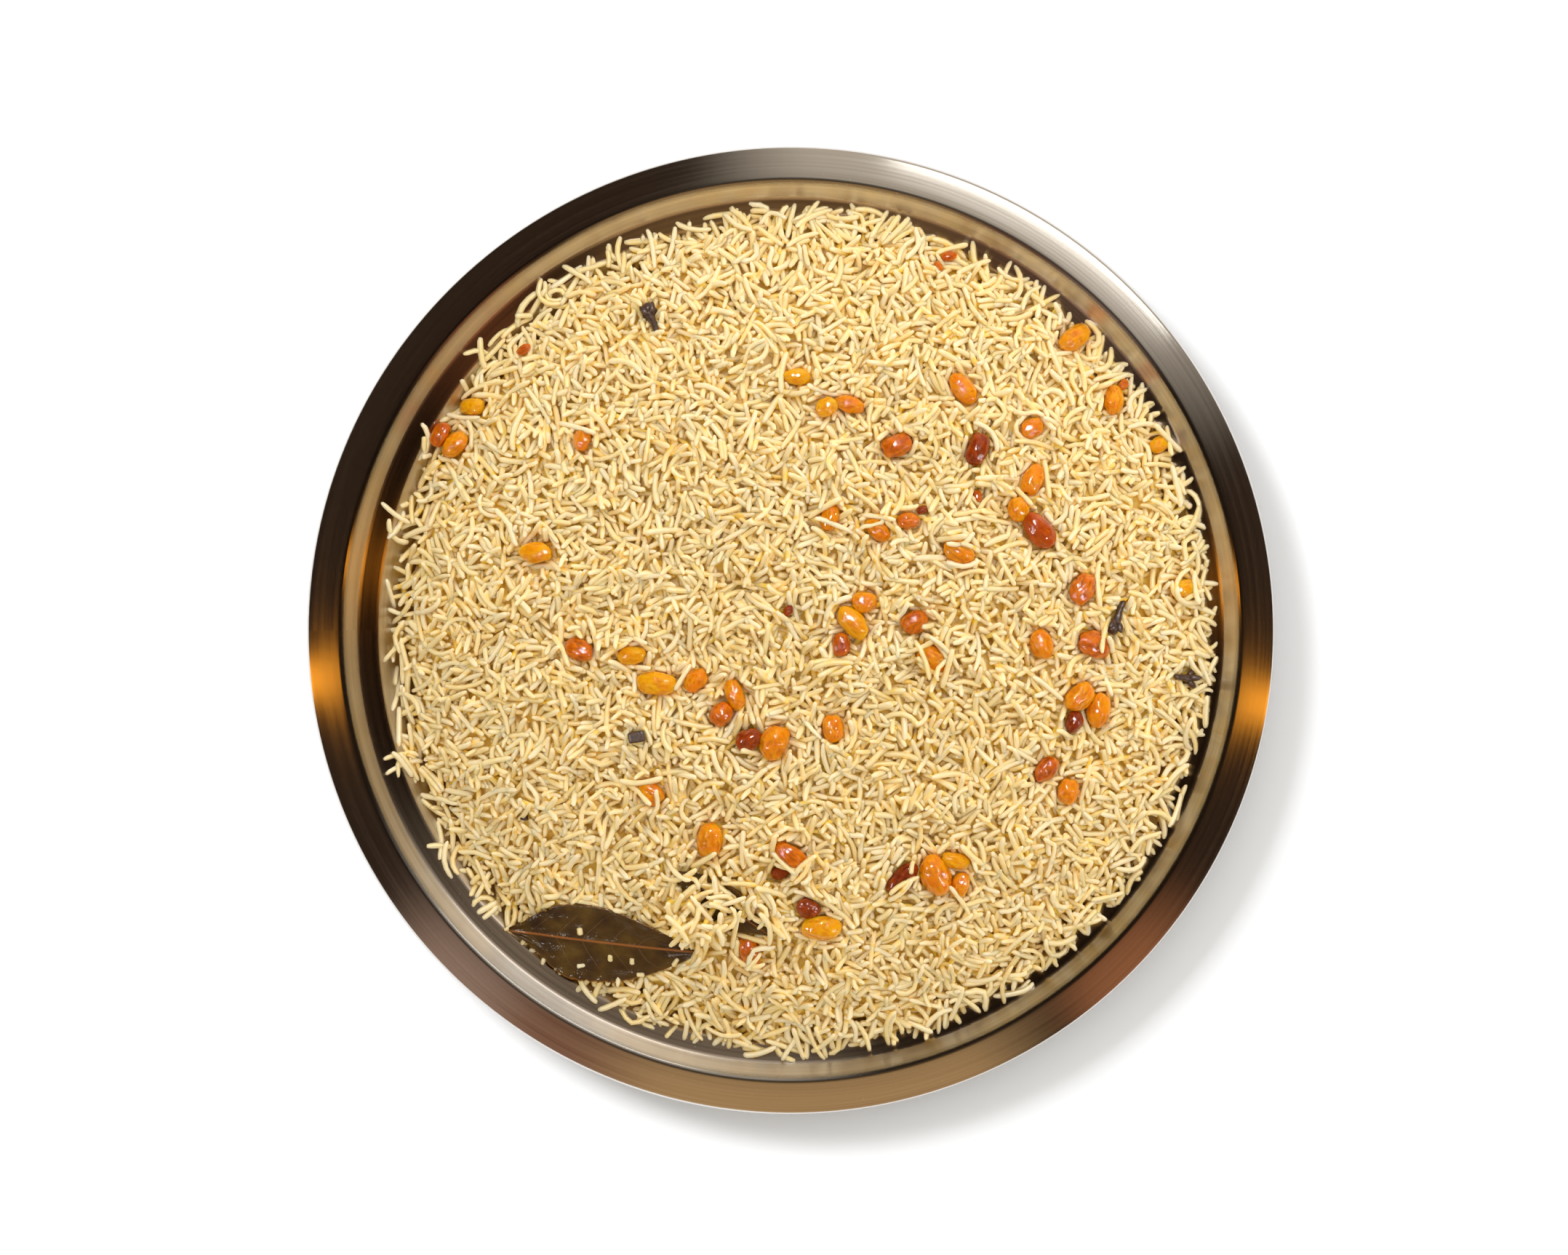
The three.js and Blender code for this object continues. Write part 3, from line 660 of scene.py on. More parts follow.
def make_fruit(name, slot, ovals, wrinkling, material, nodes=(), boxy=False):
    """One piece that holds all fruit of a colour."""
    shapes, folds, stems, tones = [], [], [], []
    pattern = tube_faces(FRUIT_BANDS + 1, FRUIT_TURNS)
    random = np.random.default_rng(len(name) + len(ovals))
    for number, (middle, halves, axes) in enumerate(ovals):
        deepest = is_near(middle, DEEPEST)
        stalk = deepest or random.uniform() < STALK_SHARE
        depth = wrinkling * (SMOOTHED if deepest else 1)
        shape, fold, stem = fruit_shape(halves, depth, stalk, number + len(name))
        if boxy:
            shape /= (np.abs(shape / halves) ** 8).sum(axis=1, keepdims=True) ** (1 / 8)
        shapes.append((shape @ axes + middle, pattern))
        folds.append(fold)
        stems.append(stem)
        tones.append(np.full(len(shape), -1 if deepest else random.uniform()))
    piece = make_object(name, *joined(shapes), material)
    add_values(piece, fold=np.concatenate(folds), stem=np.concatenate(stems), tone=np.concatenate(tones))
    return stand_in(piece, slot, *nodes)


def seated_oval(x, y, length, width, turn, seat=0.12):
    """A small oval that lies on the rice at a place of the photo, in millimetres."""
    i, j = cells(x * MM, y * MM)
    up = np.array((-SLOPE_X[i, j], -SLOPE_Y[i, j], 1))
    up /= np.linalg.norm(up)
    heading = np.array((math.cos(math.radians(turn)), math.sin(math.radians(turn)), 0))
    along = heading - up * (heading @ up)
    along /= np.linalg.norm(along)
    halves = np.array((length, width, width * SCRAP_THICKNESS), float) * MM / 2
    middle = np.array((x * MM, y * MM, TARGET[i, j])) + up * seat * width * MM
    return middle, halves, np.array((along, np.cross(up, along), up))


def nodes_named(start):
    return sorted(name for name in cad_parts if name.startswith(start))


FRUIT = {
    # colour: wrinkling, then the flesh where it is thick, where it is thin, and the painted shade in the
    # folds, also used for random blemishes
    "gold": (0.11, (0.98, 0.34, 0.001), (1.0, 0.52, 0.003), (0.66, 0.16, 0.001)),
    "amber": (0.12, (0.90, 0.24, 0.001), (1.0, 0.41, 0.002), (0.46, 0.08, 0.001)),
    "red": (0.13, (0.50, 0.075, 0.001), (0.88, 0.24, 0.001), (0.20, 0.020, 0.001)),
    "dark": (0.15, (0.22, 0.018, 0.001), (0.46, 0.07, 0.001), (0.06, 0.005, 0.001)),
}
SCRAPS = {"red": RED_SCRAPS, "dark": DARK_SCRAPS}


def make_all_fruit():
    pieces = []
    for colour, (wrinkling, *shades) in FRUIT.items():
        slot = f"sultana_{colour}"
        nodes = nodes_named(f"{slot}_")
        ovals = [oval_of(name) for name in nodes]
        ovals += [seated_oval(*scrap) for scrap in SCRAPS.get(colour, ())]
        material = fruit_material(slot, *shades)
        pieces.append(make_fruit(f"sultanas_{colour}", slot, ovals, wrinkling, material, nodes))
    chips = [seated_oval(*scrap, seat=0.2) for scrap in BLACK_SCRAPS]
    pieces.append(make_fruit("spice_chips", "clove", chips, 0.16, spice_material(), boxy=True))
    return pieces


# ------------------------------------------------------------------ cloves

CLOVE_NECK = 1.7 * MM
CLOVE_FOOT = 1.0 * MM
CLOVE_BUD = 2.35 * MM
CLOVE_LOBES = 4
LOBE_REACH = 3.1 * MM
LOBE_RISE = 3.6 * MM
LOBE_WIDTH = 1.25 * MM


def tube(points, radii, sides, roughness=0.0, seed=0):
    """Corners and faces of a closed tube through the points, pointed at both ends."""
    points = np.asarray(points, float)
    ways = np.gradient(points, axis=0)
    ways /= np.linalg.norm(ways, axis=1)[:, None]
    side = np.cross((0, 0, 1), ways)
    side[np.linalg.norm(side, axis=1) < 1e-6] = (0, 1, 0)
    side /= np.linalg.norm(side, axis=1)[:, None]
    top = np.cross(ways, side)
    angles = np.linspace(0, 2 * math.pi, sides, endpoint=False)
    corners = [points[0]]
    for k in range(1, len(points) - 1):
        for angle in angles:
            out = math.cos(angle) * side[k] + math.sin(angle) * top[k]
            at = Vector(points[k] * 900 + out * 1.4) + Vector((seed, seed, seed))
            corners.append(points[k] + out * radii[k] * (1 + roughness * noise.noise(at)))
    corners.append(points[-1])
    return np.array(corners), tube_faces(len(points), sides)


def clove_parts(length, has_bud, seed):
    """The stem, the lobes and the bud of a clove along x, its calyx towards +x."""
    neck = length / 2 - 1.6 * CLOVE_BUD
    along = np.linspace(0, 1, 18)
    stem_line = -length / 2 + along * (neck + length / 2)
    stem = np.stack([stem_line, 0.3 * MM * np.sin(5 * along), 0 * along], axis=1)
    swell = CLOVE_FOOT + (CLOVE_NECK - CLOVE_FOOT) * along**1.5
    ends = np.minimum(1, np.minimum(along * 9 + 0.35, (1 - along) * 30 + 0.6))
    parts = [tube(stem, swell * ends, 14, 0.35, seed)]
    steps = np.linspace(0, 1, 9)
    for lobe in range(CLOVE_LOBES):
        turn = 2 * math.pi * (lobe + 0.5) / CLOVE_LOBES
        reach = 0.5 * MM + LOBE_REACH * steps**0.9
        rise = neck - 1.4 * MM + LOBE_RISE * steps**1.3
        path = np.stack([rise, reach * math.cos(turn), reach * math.sin(turn)], axis=1)
        width = LOBE_WIDTH * np.sin(math.pi * np.clip(0.12 + 0.88 * steps, 0, 1)) ** 0.7
        parts.append(tube(path, width, 8, 0.2, seed + lobe))
    if has_bud:
        turn = np.linspace(0, math.pi, 15)
        path = np.stack([length / 2 - CLOVE_BUD - CLOVE_BUD * np.cos(turn), 0 * turn, 0 * turn], axis=1)
        parts.append(tube(path, CLOVE_BUD * np.sin(turn), 20, 0.14, seed + 9))
    return parts


def make_clove(name, seed, has_bud, material):
    middle, halves, axes = oval_of(name)
    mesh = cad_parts[name].data
    local = (np.array([v.co for v in mesh.vertices], float) - middle) @ axes.T
    girth = np.hypot(local[:, 1], local[:, 2])
    if girth[local[:, 0] > 0].max() < girth[local[:, 0] < 0].max():
        axes = np.array((-axes[0], -axes[1], axes[2]))
        local = local * (-1, -1, 1)
    low, high = local[:, 0].min(), local[:, 0].max()
    shift = ((low + high) / 2, 0, 0)
    parts = clove_parts(high - low, has_bud, seed)
    placed = [((shape + shift) @ axes + middle, pattern) for shape, pattern in parts]
    piece = make_object(f"whole_{name}", *joined(placed), material)
    return stand_in(piece, "clove", name)


def make_cloves():
    material = spice_material()
    return [make_clove(name, 7 + 5 * i, i < 2, material) for i, name in enumerate(nodes_named("clove_"))]


# ------------------------------------------------------------------ bay leaves

LEAF_STEPS = 96
LEAF_STRIPS = 16
LEAF_THICKNESS = 0.45 * MM
VEIN_PAIRS = 7
LEAF_SPAN = (0.004, 0.996)  # the shares of its length between which it is made
LEAF_WAVES = ((0.35 * MM, 12, 4, 3), (0.2 * MM, 34, 9, 8))  # height, pace along and across, seed


def leaf_bounds(local, edges, at):
    """Lowest and highest v where the flat mesh crosses the line u = at."""
    first, second = local[edges[:, 0]], local[edges[:, 1]]
    crossing = (first[:, 0] - at) * (second[:, 0] - at) <= 0
    first, second = first[crossing], second[crossing]
    run = second[:, 0] - first[:, 0]
    share = np.where(abs(run) > 1e-9, (at - first[:, 0]) / np.where(abs(run) > 1e-9, run, 1), 0)
    v = first[:, 1] + share * (second[:, 1] - first[:, 1])
    return v.min(), v.max()


def leaf_axes(spots):
    """A leaf's stem end in plan, its length, and the ways along and across it."""
    gaps = np.linalg.norm(spots[:, None, :2] - spots[None, :, :2], axis=-1)
    stem, tip = sorted(np.unravel_index(gaps.argmax(), gaps.shape), key=lambda v: spots[v, 0])
    start = spots[stem, :2]
    along = (spots[tip, :2] - start) / gaps.max()
    return start, gaps.max(), along, np.array((-along[1], along[0]))


def leaf_edge(share, out, seed):
    """How much of its way out a place keeps where the leaf's edge is ragged."""
    bites = (0.34 - 0.28 * share) * noise.noise(Vector((share * 22, out * 2, seed)))
    bites += 0.06 * noise.noise(Vector((share * 70, out * 2, seed + 5)))
    return 1 - max(0, bites) * abs(out) ** 6


def leaf_height(z, share, out, rib, seed):
    """A height on the leaf with its midrib and small waves."""
    z += 0.3 * MM * math.exp(-((rib / 0.01) ** 2))
    for height, along, across, shift in LEAF_WAVES:
        z += height * noise.noise(Vector((share * along, out * across, seed + shift)))
    return z


def make_leaf(name, material, seed):
    """The frame's leaf again, fine enough for its veins, ragged edge and small waves."""
    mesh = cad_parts[name].data
    tree = tree_of(mesh)
    spots = np.array([v.co for v in mesh.vertices], float)
    edges = np.array([e.vertices[:] for e in mesh.edges])
    start, length, along, across = leaf_axes(spots)
    local = np.stack([(spots[:, :2] - start) @ along, (spots[:, :2] - start) @ across], axis=1)
    outs = np.linspace(-1, 1, 2 * LEAF_STRIPS + 1)
    upper, values = [], []
    for share in np.linspace(*LEAF_SPAN, LEAF_STEPS):
        low, high = leaf_bounds(local, edges, share * length)
        middle = (low + high) / 2 * 0.15
        for out in outs:
            half = high - middle if out > 0 else middle - low
            u, v = share * length, middle + out * half * leaf_edge(share, out, seed)
            x, y = start + u * along + v * across
            z = top_height(tree, x, y)
            if math.isnan(z):
                z = top_height(tree, *(start + u * along + (middle + 0.9 * out * half) * across))
            rib = abs(out) * half / length
            upper.append((x, y, leaf_height(z, share, out, rib, seed)))
            values.append((share, out, rib))
    upper = np.array(upper)
    for bad in np.flatnonzero(np.isnan(upper[:, 2])):
        upper[bad, 2] = upper[bad - 1, 2]
    corners = np.vstack([upper, upper - (0, 0, LEAF_THICKNESS)])
    piece = make_object(f"{name}_blade", corners, sheet_faces(LEAF_STEPS, len(outs)), material)
    shares, sides, ribs = np.tile(np.transpose(values), 2)
    add_values(piece, along=shares, out=sides, midrib=ribs)
    return stand_in(piece, "bay_leaf", name)


def sheet_faces(rows, columns):
    """Faces of a thin closed sheet whose lower corners follow its upper ones."""
    grid = np.arange(rows * columns).reshape(rows, columns)
    quads = np.stack([grid[:-1, :-1], grid[1:, :-1], grid[1:, 1:], grid[:-1, 1:]], axis=-1).reshape(-1, 4)
    ring = np.concatenate([grid[0], grid[1:, -1], grid[-1, -2::-1], grid[-2:0:-1, 0]])
    onward = np.roll(ring, -1)
    rim = np.stack([ring, onward, onward + grid.size, ring + grid.size], axis=-1)
    return np.concatenate([quads, quads[:, ::-1] + grid.size, rim]).tolist()


# ------------------------------------------------------------------ laying the grains

RING_PLACES = np.array([-t for t in HALF_GRAIN[:0:-1]] + list(HALF_GRAIN))
TAPER = np.sqrt(1 - np.abs(RING_PLACES) ** BLUNTNESS)
COMB = math.pi * waves(MAP_X, MAP_Y, COMB_LENGTH, 8)  # direction of the grains at each place
SIDE_OFFSETS = np.array([-0.6, 0.0, 0.6])
SIDE_LIFTS = np.sqrt(1 - SIDE_OFFSETS**2)
STAMP_REACH = 1.15 * MM
STAMP = [(i, j) for i in range(-2, 3) for j in range(-2, 3) if math.hypot(i, j) * CELL < STAMP_REACH]
STAMP_I = np.array([i for i, j in STAMP])
STAMP_J = np.array([j for i, j in STAMP])
STAMP_FALL = (np.hypot(STAMP_I, STAMP_J) * CELL) ** 2


def grain_shape(kind, random):
    """Places along a grain in its own plane, its middle at the origin, and its radii."""
    _, shortest, longest, least, most, wave = GRAIN_KINDS[kind]
    length = random.uniform(shortest, longest) * MM
    bend = math.radians(random.uniform(least, most)) * random.choice((-1, 1))
    sway = math.radians(wave) * random.uniform(-1, 1)
    lean = random.uniform(-0.35, 0.35)
    t = RING_PLACES
    way = bend * (t / 2 + lean * (t * t - 1 / 3)) + sway * np.sin(math.pi * t)
    middle_way = (way[1:] + way[:-1]) / 2
    steps = np.diff(t) * length / 2
    u = np.concatenate([[0], np.cumsum(steps * np.cos(middle_way))])
    v = np.concatenate([[0], np.cumsum(steps * np.sin(middle_way))])
    width = GRAIN_WIDTH * random.uniform(0.86, 1.12)
    slimmer_end = 1 - 0.18 * random.uniform(0, 1) * (1 + t) / 2
    uneven = 1 + 0.05 * np.sin(random.uniform(3, 8) * t + random.uniform(0, 6))
    return u - u.mean(), v - v.mean(), width / 2 * TAPER * slimmer_end * uneven


def rest_lines(u, needed, level_slopes):
    """Heights at u = 0 and slopes of the lowest lines over each row of needed heights."""
    left, right = u < -TINY, u > TINY
    ul, gl = u[left][:, None], needed[:, left, None]
    ur, gr = u[right][None, :], needed[:, None, right]
    heights = ((gl * ur - gr * ul) / (ur - ul)).max(axis=(1, 2))
    least = ((needed[:, right] - heights[:, None]) / u[right]).max(axis=1)
    most = ((needed[:, left] - heights[:, None]) / u[left]).min(axis=1)
    slopes = np.where(least < most, np.clip(level_slopes, least, most), (least + most) / 2)
    slopes = np.clip(slopes, -STEEPEST, STEEPEST)
    return (needed - slopes[:, None] * u).max(axis=1), slopes


class Heap:
    """The rice as it is laid: a map of its top, and the grains so far."""

    def __init__(self, floor, ceiling):
        self.top = floor
        self.ceiling = ceiling
        self.grains = {kind: [] for kind in GRAIN_KINDS}

    def lay(self, kind, x, y, heading, random, allow, dive=0.0, spare=()):
        """Lets a grain come to rest at a place, if its middle stays under allow there.

        One that dives has that slope against the heap, and its lower end inside it.
        """
        u, v, radii = grain_shape(kind, random)
        cos, sin = np.cos(heading + TURNS)[:, None], np.sin(heading + TURNS)[:, None]
        px, py = x + u * cos - v * sin, y + u * sin + v * cos
        free = (np.hypot(px, py) + radii).max(axis=1) < WALL_RADIUS
        for sx, sy, reach in spare:
            free &= np.hypot(px - sx * MM, py - sy * MM).min(axis=1) > reach * MM + GLIMPSE_MARGIN
        tu, tv = np.gradient(u), np.gradient(v)
        size = np.hypot(tu, tv)
        nx, ny = -(tu * sin + tv * cos) / size, (tu * cos - tv * sin) / size
        ci, cj = cells(x, y)
        side_slopes = -SLOPE_X[ci, cj] * sin + SLOPE_Y[ci, cj] * cos
        level_slopes = (SLOPE_X[ci, cj] * cos + SLOPE_Y[ci, cj] * sin)[:, 0]
        spread = radii[:, None] * SIDE_OFFSETS
        i, j = cells(px[..., None] + nx[..., None] * spread, py[..., None] + ny[..., None] * spread)
        lifts = radii[:, None] * SIDE_LIFTS * GRAIN_FLATNESS
        needed = (self.top[i, j] + lifts).max(axis=2) - side_slopes * v - SINK
        if dive:
            slopes = level_slopes + dive
            upper = u * dive > 0.1 * abs(dive) * (u.max() - u.min())
            heights = (needed - slopes[:, None] * u)[:, upper].max(axis=1)
        else:
            heights, slopes = rest_lines(u, needed, level_slopes)
        pz = heights[:, None] + slopes[:, None] * u + side_slopes * v
        free &= (heights <= allow) & (pz[..., None] + lifts <= self.ceiling[i, j]).all(axis=(1, 2))
        if not free.any():
            return False
        best = int(np.argmin(np.where(free, heights, NO_LIMIT)))
        points = np.stack([px[best], py[best], pz[best]], axis=1)
        self.stamp(points, radii)
        self.grains[kind].append((points, radii, random.uniform()))
        return True

    def stamp(self, points, radii):
        """Raises the map under a grain that has come to rest."""
        lines = (*points.T, radii)
        x, y, z, r = (np.concatenate([line, (line[1:] + line[:-1]) / 2]) for line in lines)
        i, j = cells(x, y)
        rise = np.sqrt(np.clip(r[:, None] ** 2 - STAMP_FALL, 0, None)) * GRAIN_FLATNESS
        under = STAMP_FALL <= r[:, None] ** 2
        i, j = (i[:, None] + STAMP_I)[under], (j[:, None] + STAMP_J)[under]
        np.maximum.at(self.top, (i, j), (z[:, None] + rise)[under])


def cover_map(pieces):
    """Highest and lowest surface of the pieces over each cell, and where there is any."""
    high = np.full(MAP_X.shape, -NO_LIMIT)
    low = np.full(MAP_X.shape, NO_LIMIT)
    for piece in pieces:
        tree = tree_of(piece.data)
        spots = np.array([v.co for v in piece.data.vertices], float)
        seen = np.zeros(MAP_X.shape, bool)
        i, j = cells(spots[:, 0], spots[:, 1])
        for di, dj in STAMP:
            seen[np.clip(i + di, 0, len(AXIS) - 1), np.clip(j + dj, 0, len(AXIS) - 1)] = True
        for i, j in zip(*np.nonzero(seen)):
            x, y = AXIS[i], AXIS[j]
            top = top_height(tree, x, y)
            if not math.isnan(top):
                high[i, j] = max(high[i, j], top)
                low[i, j] = min(low[i, j], under_height(tree, x, y))
    return high, low


def pick_kind(random):
    kinds = list(GRAIN_KINDS)
    shares = np.array([GRAIN_KINDS[kind][0] for kind in kinds])
    return kinds[random.choice(len(kinds), p=shares / shares.sum())]


def fill_heap(heap, random):
    """Lays grains wherever the heap is lowest against what it should be."""
    reach = OUTLINE.max() + SPILL_REACH
    for _ in range(TRIES):
        radius = reach * np.sqrt(random.uniform(0, 1, CHOICES))
        angle = random.uniform(0, 2 * math.pi, CHOICES)
        xs, ys = radius * np.cos(angle), radius * np.sin(angle)
        i, j = cells(xs, ys)
        best = int(np.argmax(TARGET[i, j] - heap.top[i, j]))
        spot = i[best], j[best]
        if OUTSIDE[spot] > SPILL_REACH * random.uniform(0, 1):
            continue
        allow = TARGET[spot] + random.uniform(*LEVEL_SPREAD) * MM
        heading = COMB[spot] + random.normal(0, COMB_SPREAD)
        dive = 0.0
        if random.uniform() < DIVING_SHARE and OUTSIDE[spot] < -DIVE_INSET:
            dive = random.uniform(*DIVE_SLOPE) * random.choice((-1, 1))
            allow -= DIVE_DROP
        heap.lay(pick_kind(random), xs[best], ys[best], heading, random, allow, dive)


def fill_holes(heap, random):
    """Lays more grains across the places that are still deep."""
    for _ in range(HOLE_ROUNDS):
        room = np.where(OUTSIDE < -HOLE_INSET, TARGET - heap.top, 0)
        i, j = np.nonzero(room > HOLE_DEPTH)
        for k in random.permutation(len(i))[:HOLE_TRIES]:
            spot = i[k], j[k]
            if TARGET[spot] - heap.top[spot] > HOLE_DEPTH:
                allow = TARGET[spot] + HOLE_RISE
                heading = random.uniform(0, 2 * math.pi)
                heap.lay(pick_kind(random), AXIS[i[k]], AXIS[j[k]], heading, random, allow)


def lay_over(heap, ovals, random):
    """A few grains that lie over the edges of the fruit, more of them on the half-covered."""
    for middle, halves, axes in ovals:
        buried = any(is_near(middle, spot) for spot in HALF_COVERED)
        tries, nearest, furthest, rise = OVER_BURIED if buried else OVER_OPEN
        for _ in range(tries):
            angle = random.uniform(0, 2 * math.pi)
            out = random.uniform(nearest, furthest)
            ahead = halves[0] * out * math.cos(angle) * axes[0]
            aside = ahead + halves[1] * out * math.sin(angle) * axes[1]
            heading = math.atan2(aside[1], aside[0]) + math.pi / 2 + random.uniform(-0.7, 0.7)
            x, y = middle[:2] + aside[:2]
            heap.lay(pick_kind(random), x, y, heading, random, middle[2] + halves[2] * rise)


def lay_on_leaves(heap, random):
    for x, y in LEAF_CRUMBS:
        heap.lay("rice_crumbs", x * MM, y * MM, random.uniform(0, math.pi), random, NO_LIMIT)
    low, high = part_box("bay_leaf_buried")
    for _ in range(LEAF_TRIES):
        x, y = random.uniform(low.x, high.x), random.uniform(low.y, high.y)
        i, j = cells(x, y)
        allow = max(TARGET[i, j], high.z) + LEAF_RISE
        heading = random.uniform(0, 2 * math.pi)
        heap.lay(pick_kind(random), x, y, heading, random, allow, spare=LEAF_GLIMPSES)


def make_grains(kind, grains, top, material):
    """One piece of all the grains of a kind, without those that lie hidden."""
    shown = []
    for points, radii, tone in grains:
        i, j = cells(points[:, 0], points[:, 1])
        if (points[:, 2] + radii - top[i, j]).max() > -HIDDEN_UNDER:
            shown.append((points, radii, tone))
    lines = np.array([points for points, _, _ in shown])
    widths = np.array([radii for _, radii, _ in shown])
    tones = np.array([tone for _, _, tone in shown])
    ways = np.gradient(lines, axis=1)
    ways /= np.linalg.norm(ways, axis=2, keepdims=True)
    side = np.cross((0.0, 0.0, 1.0), ways)
    side /= np.linalg.norm(side, axis=2, keepdims=True)
    over = np.cross(ways, side)
    angles = np.linspace(0, 2 * math.pi, GRAIN_SIDES, endpoint=False)
    wide = np.cos(angles)[:, None] * side[:, :, None]
    thick = GRAIN_FLATNESS * np.sin(angles)[:, None] * over[:, :, None]
    rings = lines[:, :, None] + (wide + thick) * widths[:, :, None, None]
    body = rings[:, 1:-1].reshape(len(lines), -1, 3)
    corners = np.concatenate([lines[:, :1], body, lines[:, -1:]], axis=1)
    pattern = tube_faces(len(RING_PLACES), GRAIN_SIDES)
    count = corners.shape[1]
    faces = [tuple(v + n * count for v in face) for n in range(len(lines)) for face in pattern]
    piece = make_object(kind, corners.reshape(-1, 3), faces, material)
    tips = np.concatenate([[1], np.repeat(np.abs(RING_PLACES[1:-1]), GRAIN_SIDES), [1]]) ** 3
    i, j = cells(corners[..., 0], corners[..., 1])
    # Painted shade: how deep each corner lies under the heap's top, for the rice's gap shade colour.
    depth = np.clip((top[i, j] - corners[..., 2]) / SHADE_DEPTH, 0, 1)
    add_values(piece, tone=np.repeat(tones, count), tip=np.tile(tips, len(lines)), depth=depth)
    return stand_in(piece, "rice", "rice_heap")


def make_core():
    """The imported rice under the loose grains, closed below by the platter's floor."""
    angles = np.linspace(-math.pi, math.pi, CORE_TURNS, endpoint=False)[::-1]
    reach = np.interp(angles, OUTLINE_ANGLES, OUTLINE) - CORE_INSET
    shares = np.linspace(0, 1, CORE_RINGS + 1)[:, None]
    x, y = shares * reach * np.cos(angles), shares * reach * np.sin(angles)
    i, j = cells(x, y)
    floor = DISH[i, j] + CORE_LIFT
    upper = np.stack([x, y, np.maximum(TARGET[i, j] - RICE_DEPTH, floor)], axis=-1)
    lower = np.stack([x, y, floor - CORE_EDGE], axis=-1)
    rings = np.concatenate([upper[1:], lower[:0:-1]])
    piece = make_object("rice_core", *round_form(upper[0, 0], rings, lower[0, 0]), core_material())
    return stand_in(piece, "rice", "rice_heap")


def make_rice(fruit, others):
    random = np.random.default_rng(41)
    high, low = cover_map(fruit + others)
    inside = OUTSIDE < -CORE_INSET
    floor = np.where(inside, np.maximum(TARGET - RICE_DEPTH, DISH + CORE_LIFT), DISH + GRAIN_LIFT)
    heap = Heap(floor, low)
    fill_heap(heap, random)
    fill_holes(heap, random)
    heap.ceiling = np.full(MAP_X.shape, NO_LIMIT)
    heap.top = np.maximum(heap.top, high)
    ovals = [oval_of(name) for name in nodes_named("sultana_")]
    lay_over(heap, ovals, random)
    lay_on_leaves(heap, random)
    material = rice_material()
    pieces = [make_grains(kind, grains, heap.top, material) for kind, grains in heap.grains.items()]
    return pieces + [make_core()]


# ------------------------------------------------------------------ stage, light and camera

FLOOR_HALF = 4.0
# Soft boxes: azimuth, elevation, distance, size, power, colour.
KEY_AZIMUTH = 66
KEY = (KEY_AZIMUTH, 40, 1.3, (1.2, 0.8), 1.9, (1.0, 0.98, 0.94))
FLOOR_LIGHT = (140, 42, 3.0, (1.0, 1.0), 74, (1.0, 1.0, 1.0))
# Small windows that only show as highlights.
PALE = (1.0, 0.98, 0.95)
FOOD_GLINTS = {
    "window": (75, 72, 1.2, (0.30, 0.12), 15, PALE),
    "pane": (205, 48, 1.2, (0.10, 0.20), 4, PALE),
    "far_window": (335, 38, 1.2, (0.10, 0.25), 4, PALE),
}
STEEL_GLINTS = {"skylight": (58, 45, 1.2, (0.6, 0.10), 1.2, PALE)}

# Soft light from all over, most of it from the side of the key light.
SOFT_ELEVATION = 25
SOFT_LIGHT = 1.05
SHADE_SIDE = (0.29, 0.25, 0.18)
LIT_SIDE = (1.22, 1.20, 1.15)

# What stands round the platter and shows in its steel.
ROOM_STRENGTH = 2.0
BLACK = (0.0, 0.0, 0.0)
DARK = (0.034, 0.020, 0.012)
WINDOW = (0.60, 0.53, 0.44)
GREY = (0.36, 0.24, 0.18)
MAUVE = (0.25, 0.12, 0.07)
TAN = (0.50, 0.31, 0.14)
COPPER = (0.36, 0.14, 0.06)
LAMP = (2.0, 0.74, 0.05)
# By azimuth in degrees from +X towards +Y.
WALLS = [(0, DARK), (22, DARK), (46, WINDOW), (88, WINDOW), (101, DARK), (214, DARK)]
WALLS += [(222, GREY), (230, GREY), (237, MAUVE), (244, MAUVE), (254, TAN), (293, TAN)]
WALLS += [(304, DARK), (310, COPPER), (318, COPPER), (328, DARK)]
LAMP_AZIMUTHS = (186, 351)
LAMP_HALF_WIDTH = 2.1
HIGH_UP = (0.938, 0.962)  # cosines of the zenith angle between which the room darkens upwards
OVERHEAD = 0.25  # what is left of its light there


def make_floor():
    shader = Shader("floor")
    shader.set(Base_Color=(0.90, 0.92, 0.96, 1), Roughness=0.9)
    corners = [(x * FLOOR_HALF, y * FLOOR_HALF, 0) for x, y in ((-1, -1), (1, -1), (1, 1), (-1, 1))]
    floor = make_object("floor", corners, [(0, 1, 2, 3)], shader.material, smooth=False)
    return floor


def way_to(azimuth, elevation):
    turn, rise = math.radians(azimuth), math.radians(elevation)
    return Vector((math.cos(rise) * math.cos(turn), math.cos(rise) * math.sin(turn), math.sin(rise)))


def add_softbox(name, azimuth, elevation, distance, size, power, colour, pieces, glint=False):
    """An area light that faces the platter. Azimuth runs from +X towards +Y, in degrees.

    It lights those pieces without a reflection, or as a glint is only a reflection in them.
    """
    light = bpy.data.lights.new(name, "AREA")
    light.shape = "RECTANGLE"
    light.size, light.size_y = size
    light.energy = power
    light.color = colour
    lamp = bpy.data.objects.new(name, light)
    way = way_to(azimuth, elevation)
    lamp.location = way * distance
    lamp.rotation_euler = way.to_track_quat("Z", "Y").to_euler()
    lamp.visible_glossy = glint
    lamp.visible_diffuse = not glint
    lamp.light_linking.receiver_collection = pieces
    bpy.context.scene.collection.objects.link(lamp)


def collected(name, pieces):
    """A collection of pieces that a light is aimed at."""
    collection = bpy.data.collections.new(name)
    for piece in pieces:
        collection.objects.link(piece)
    return collection


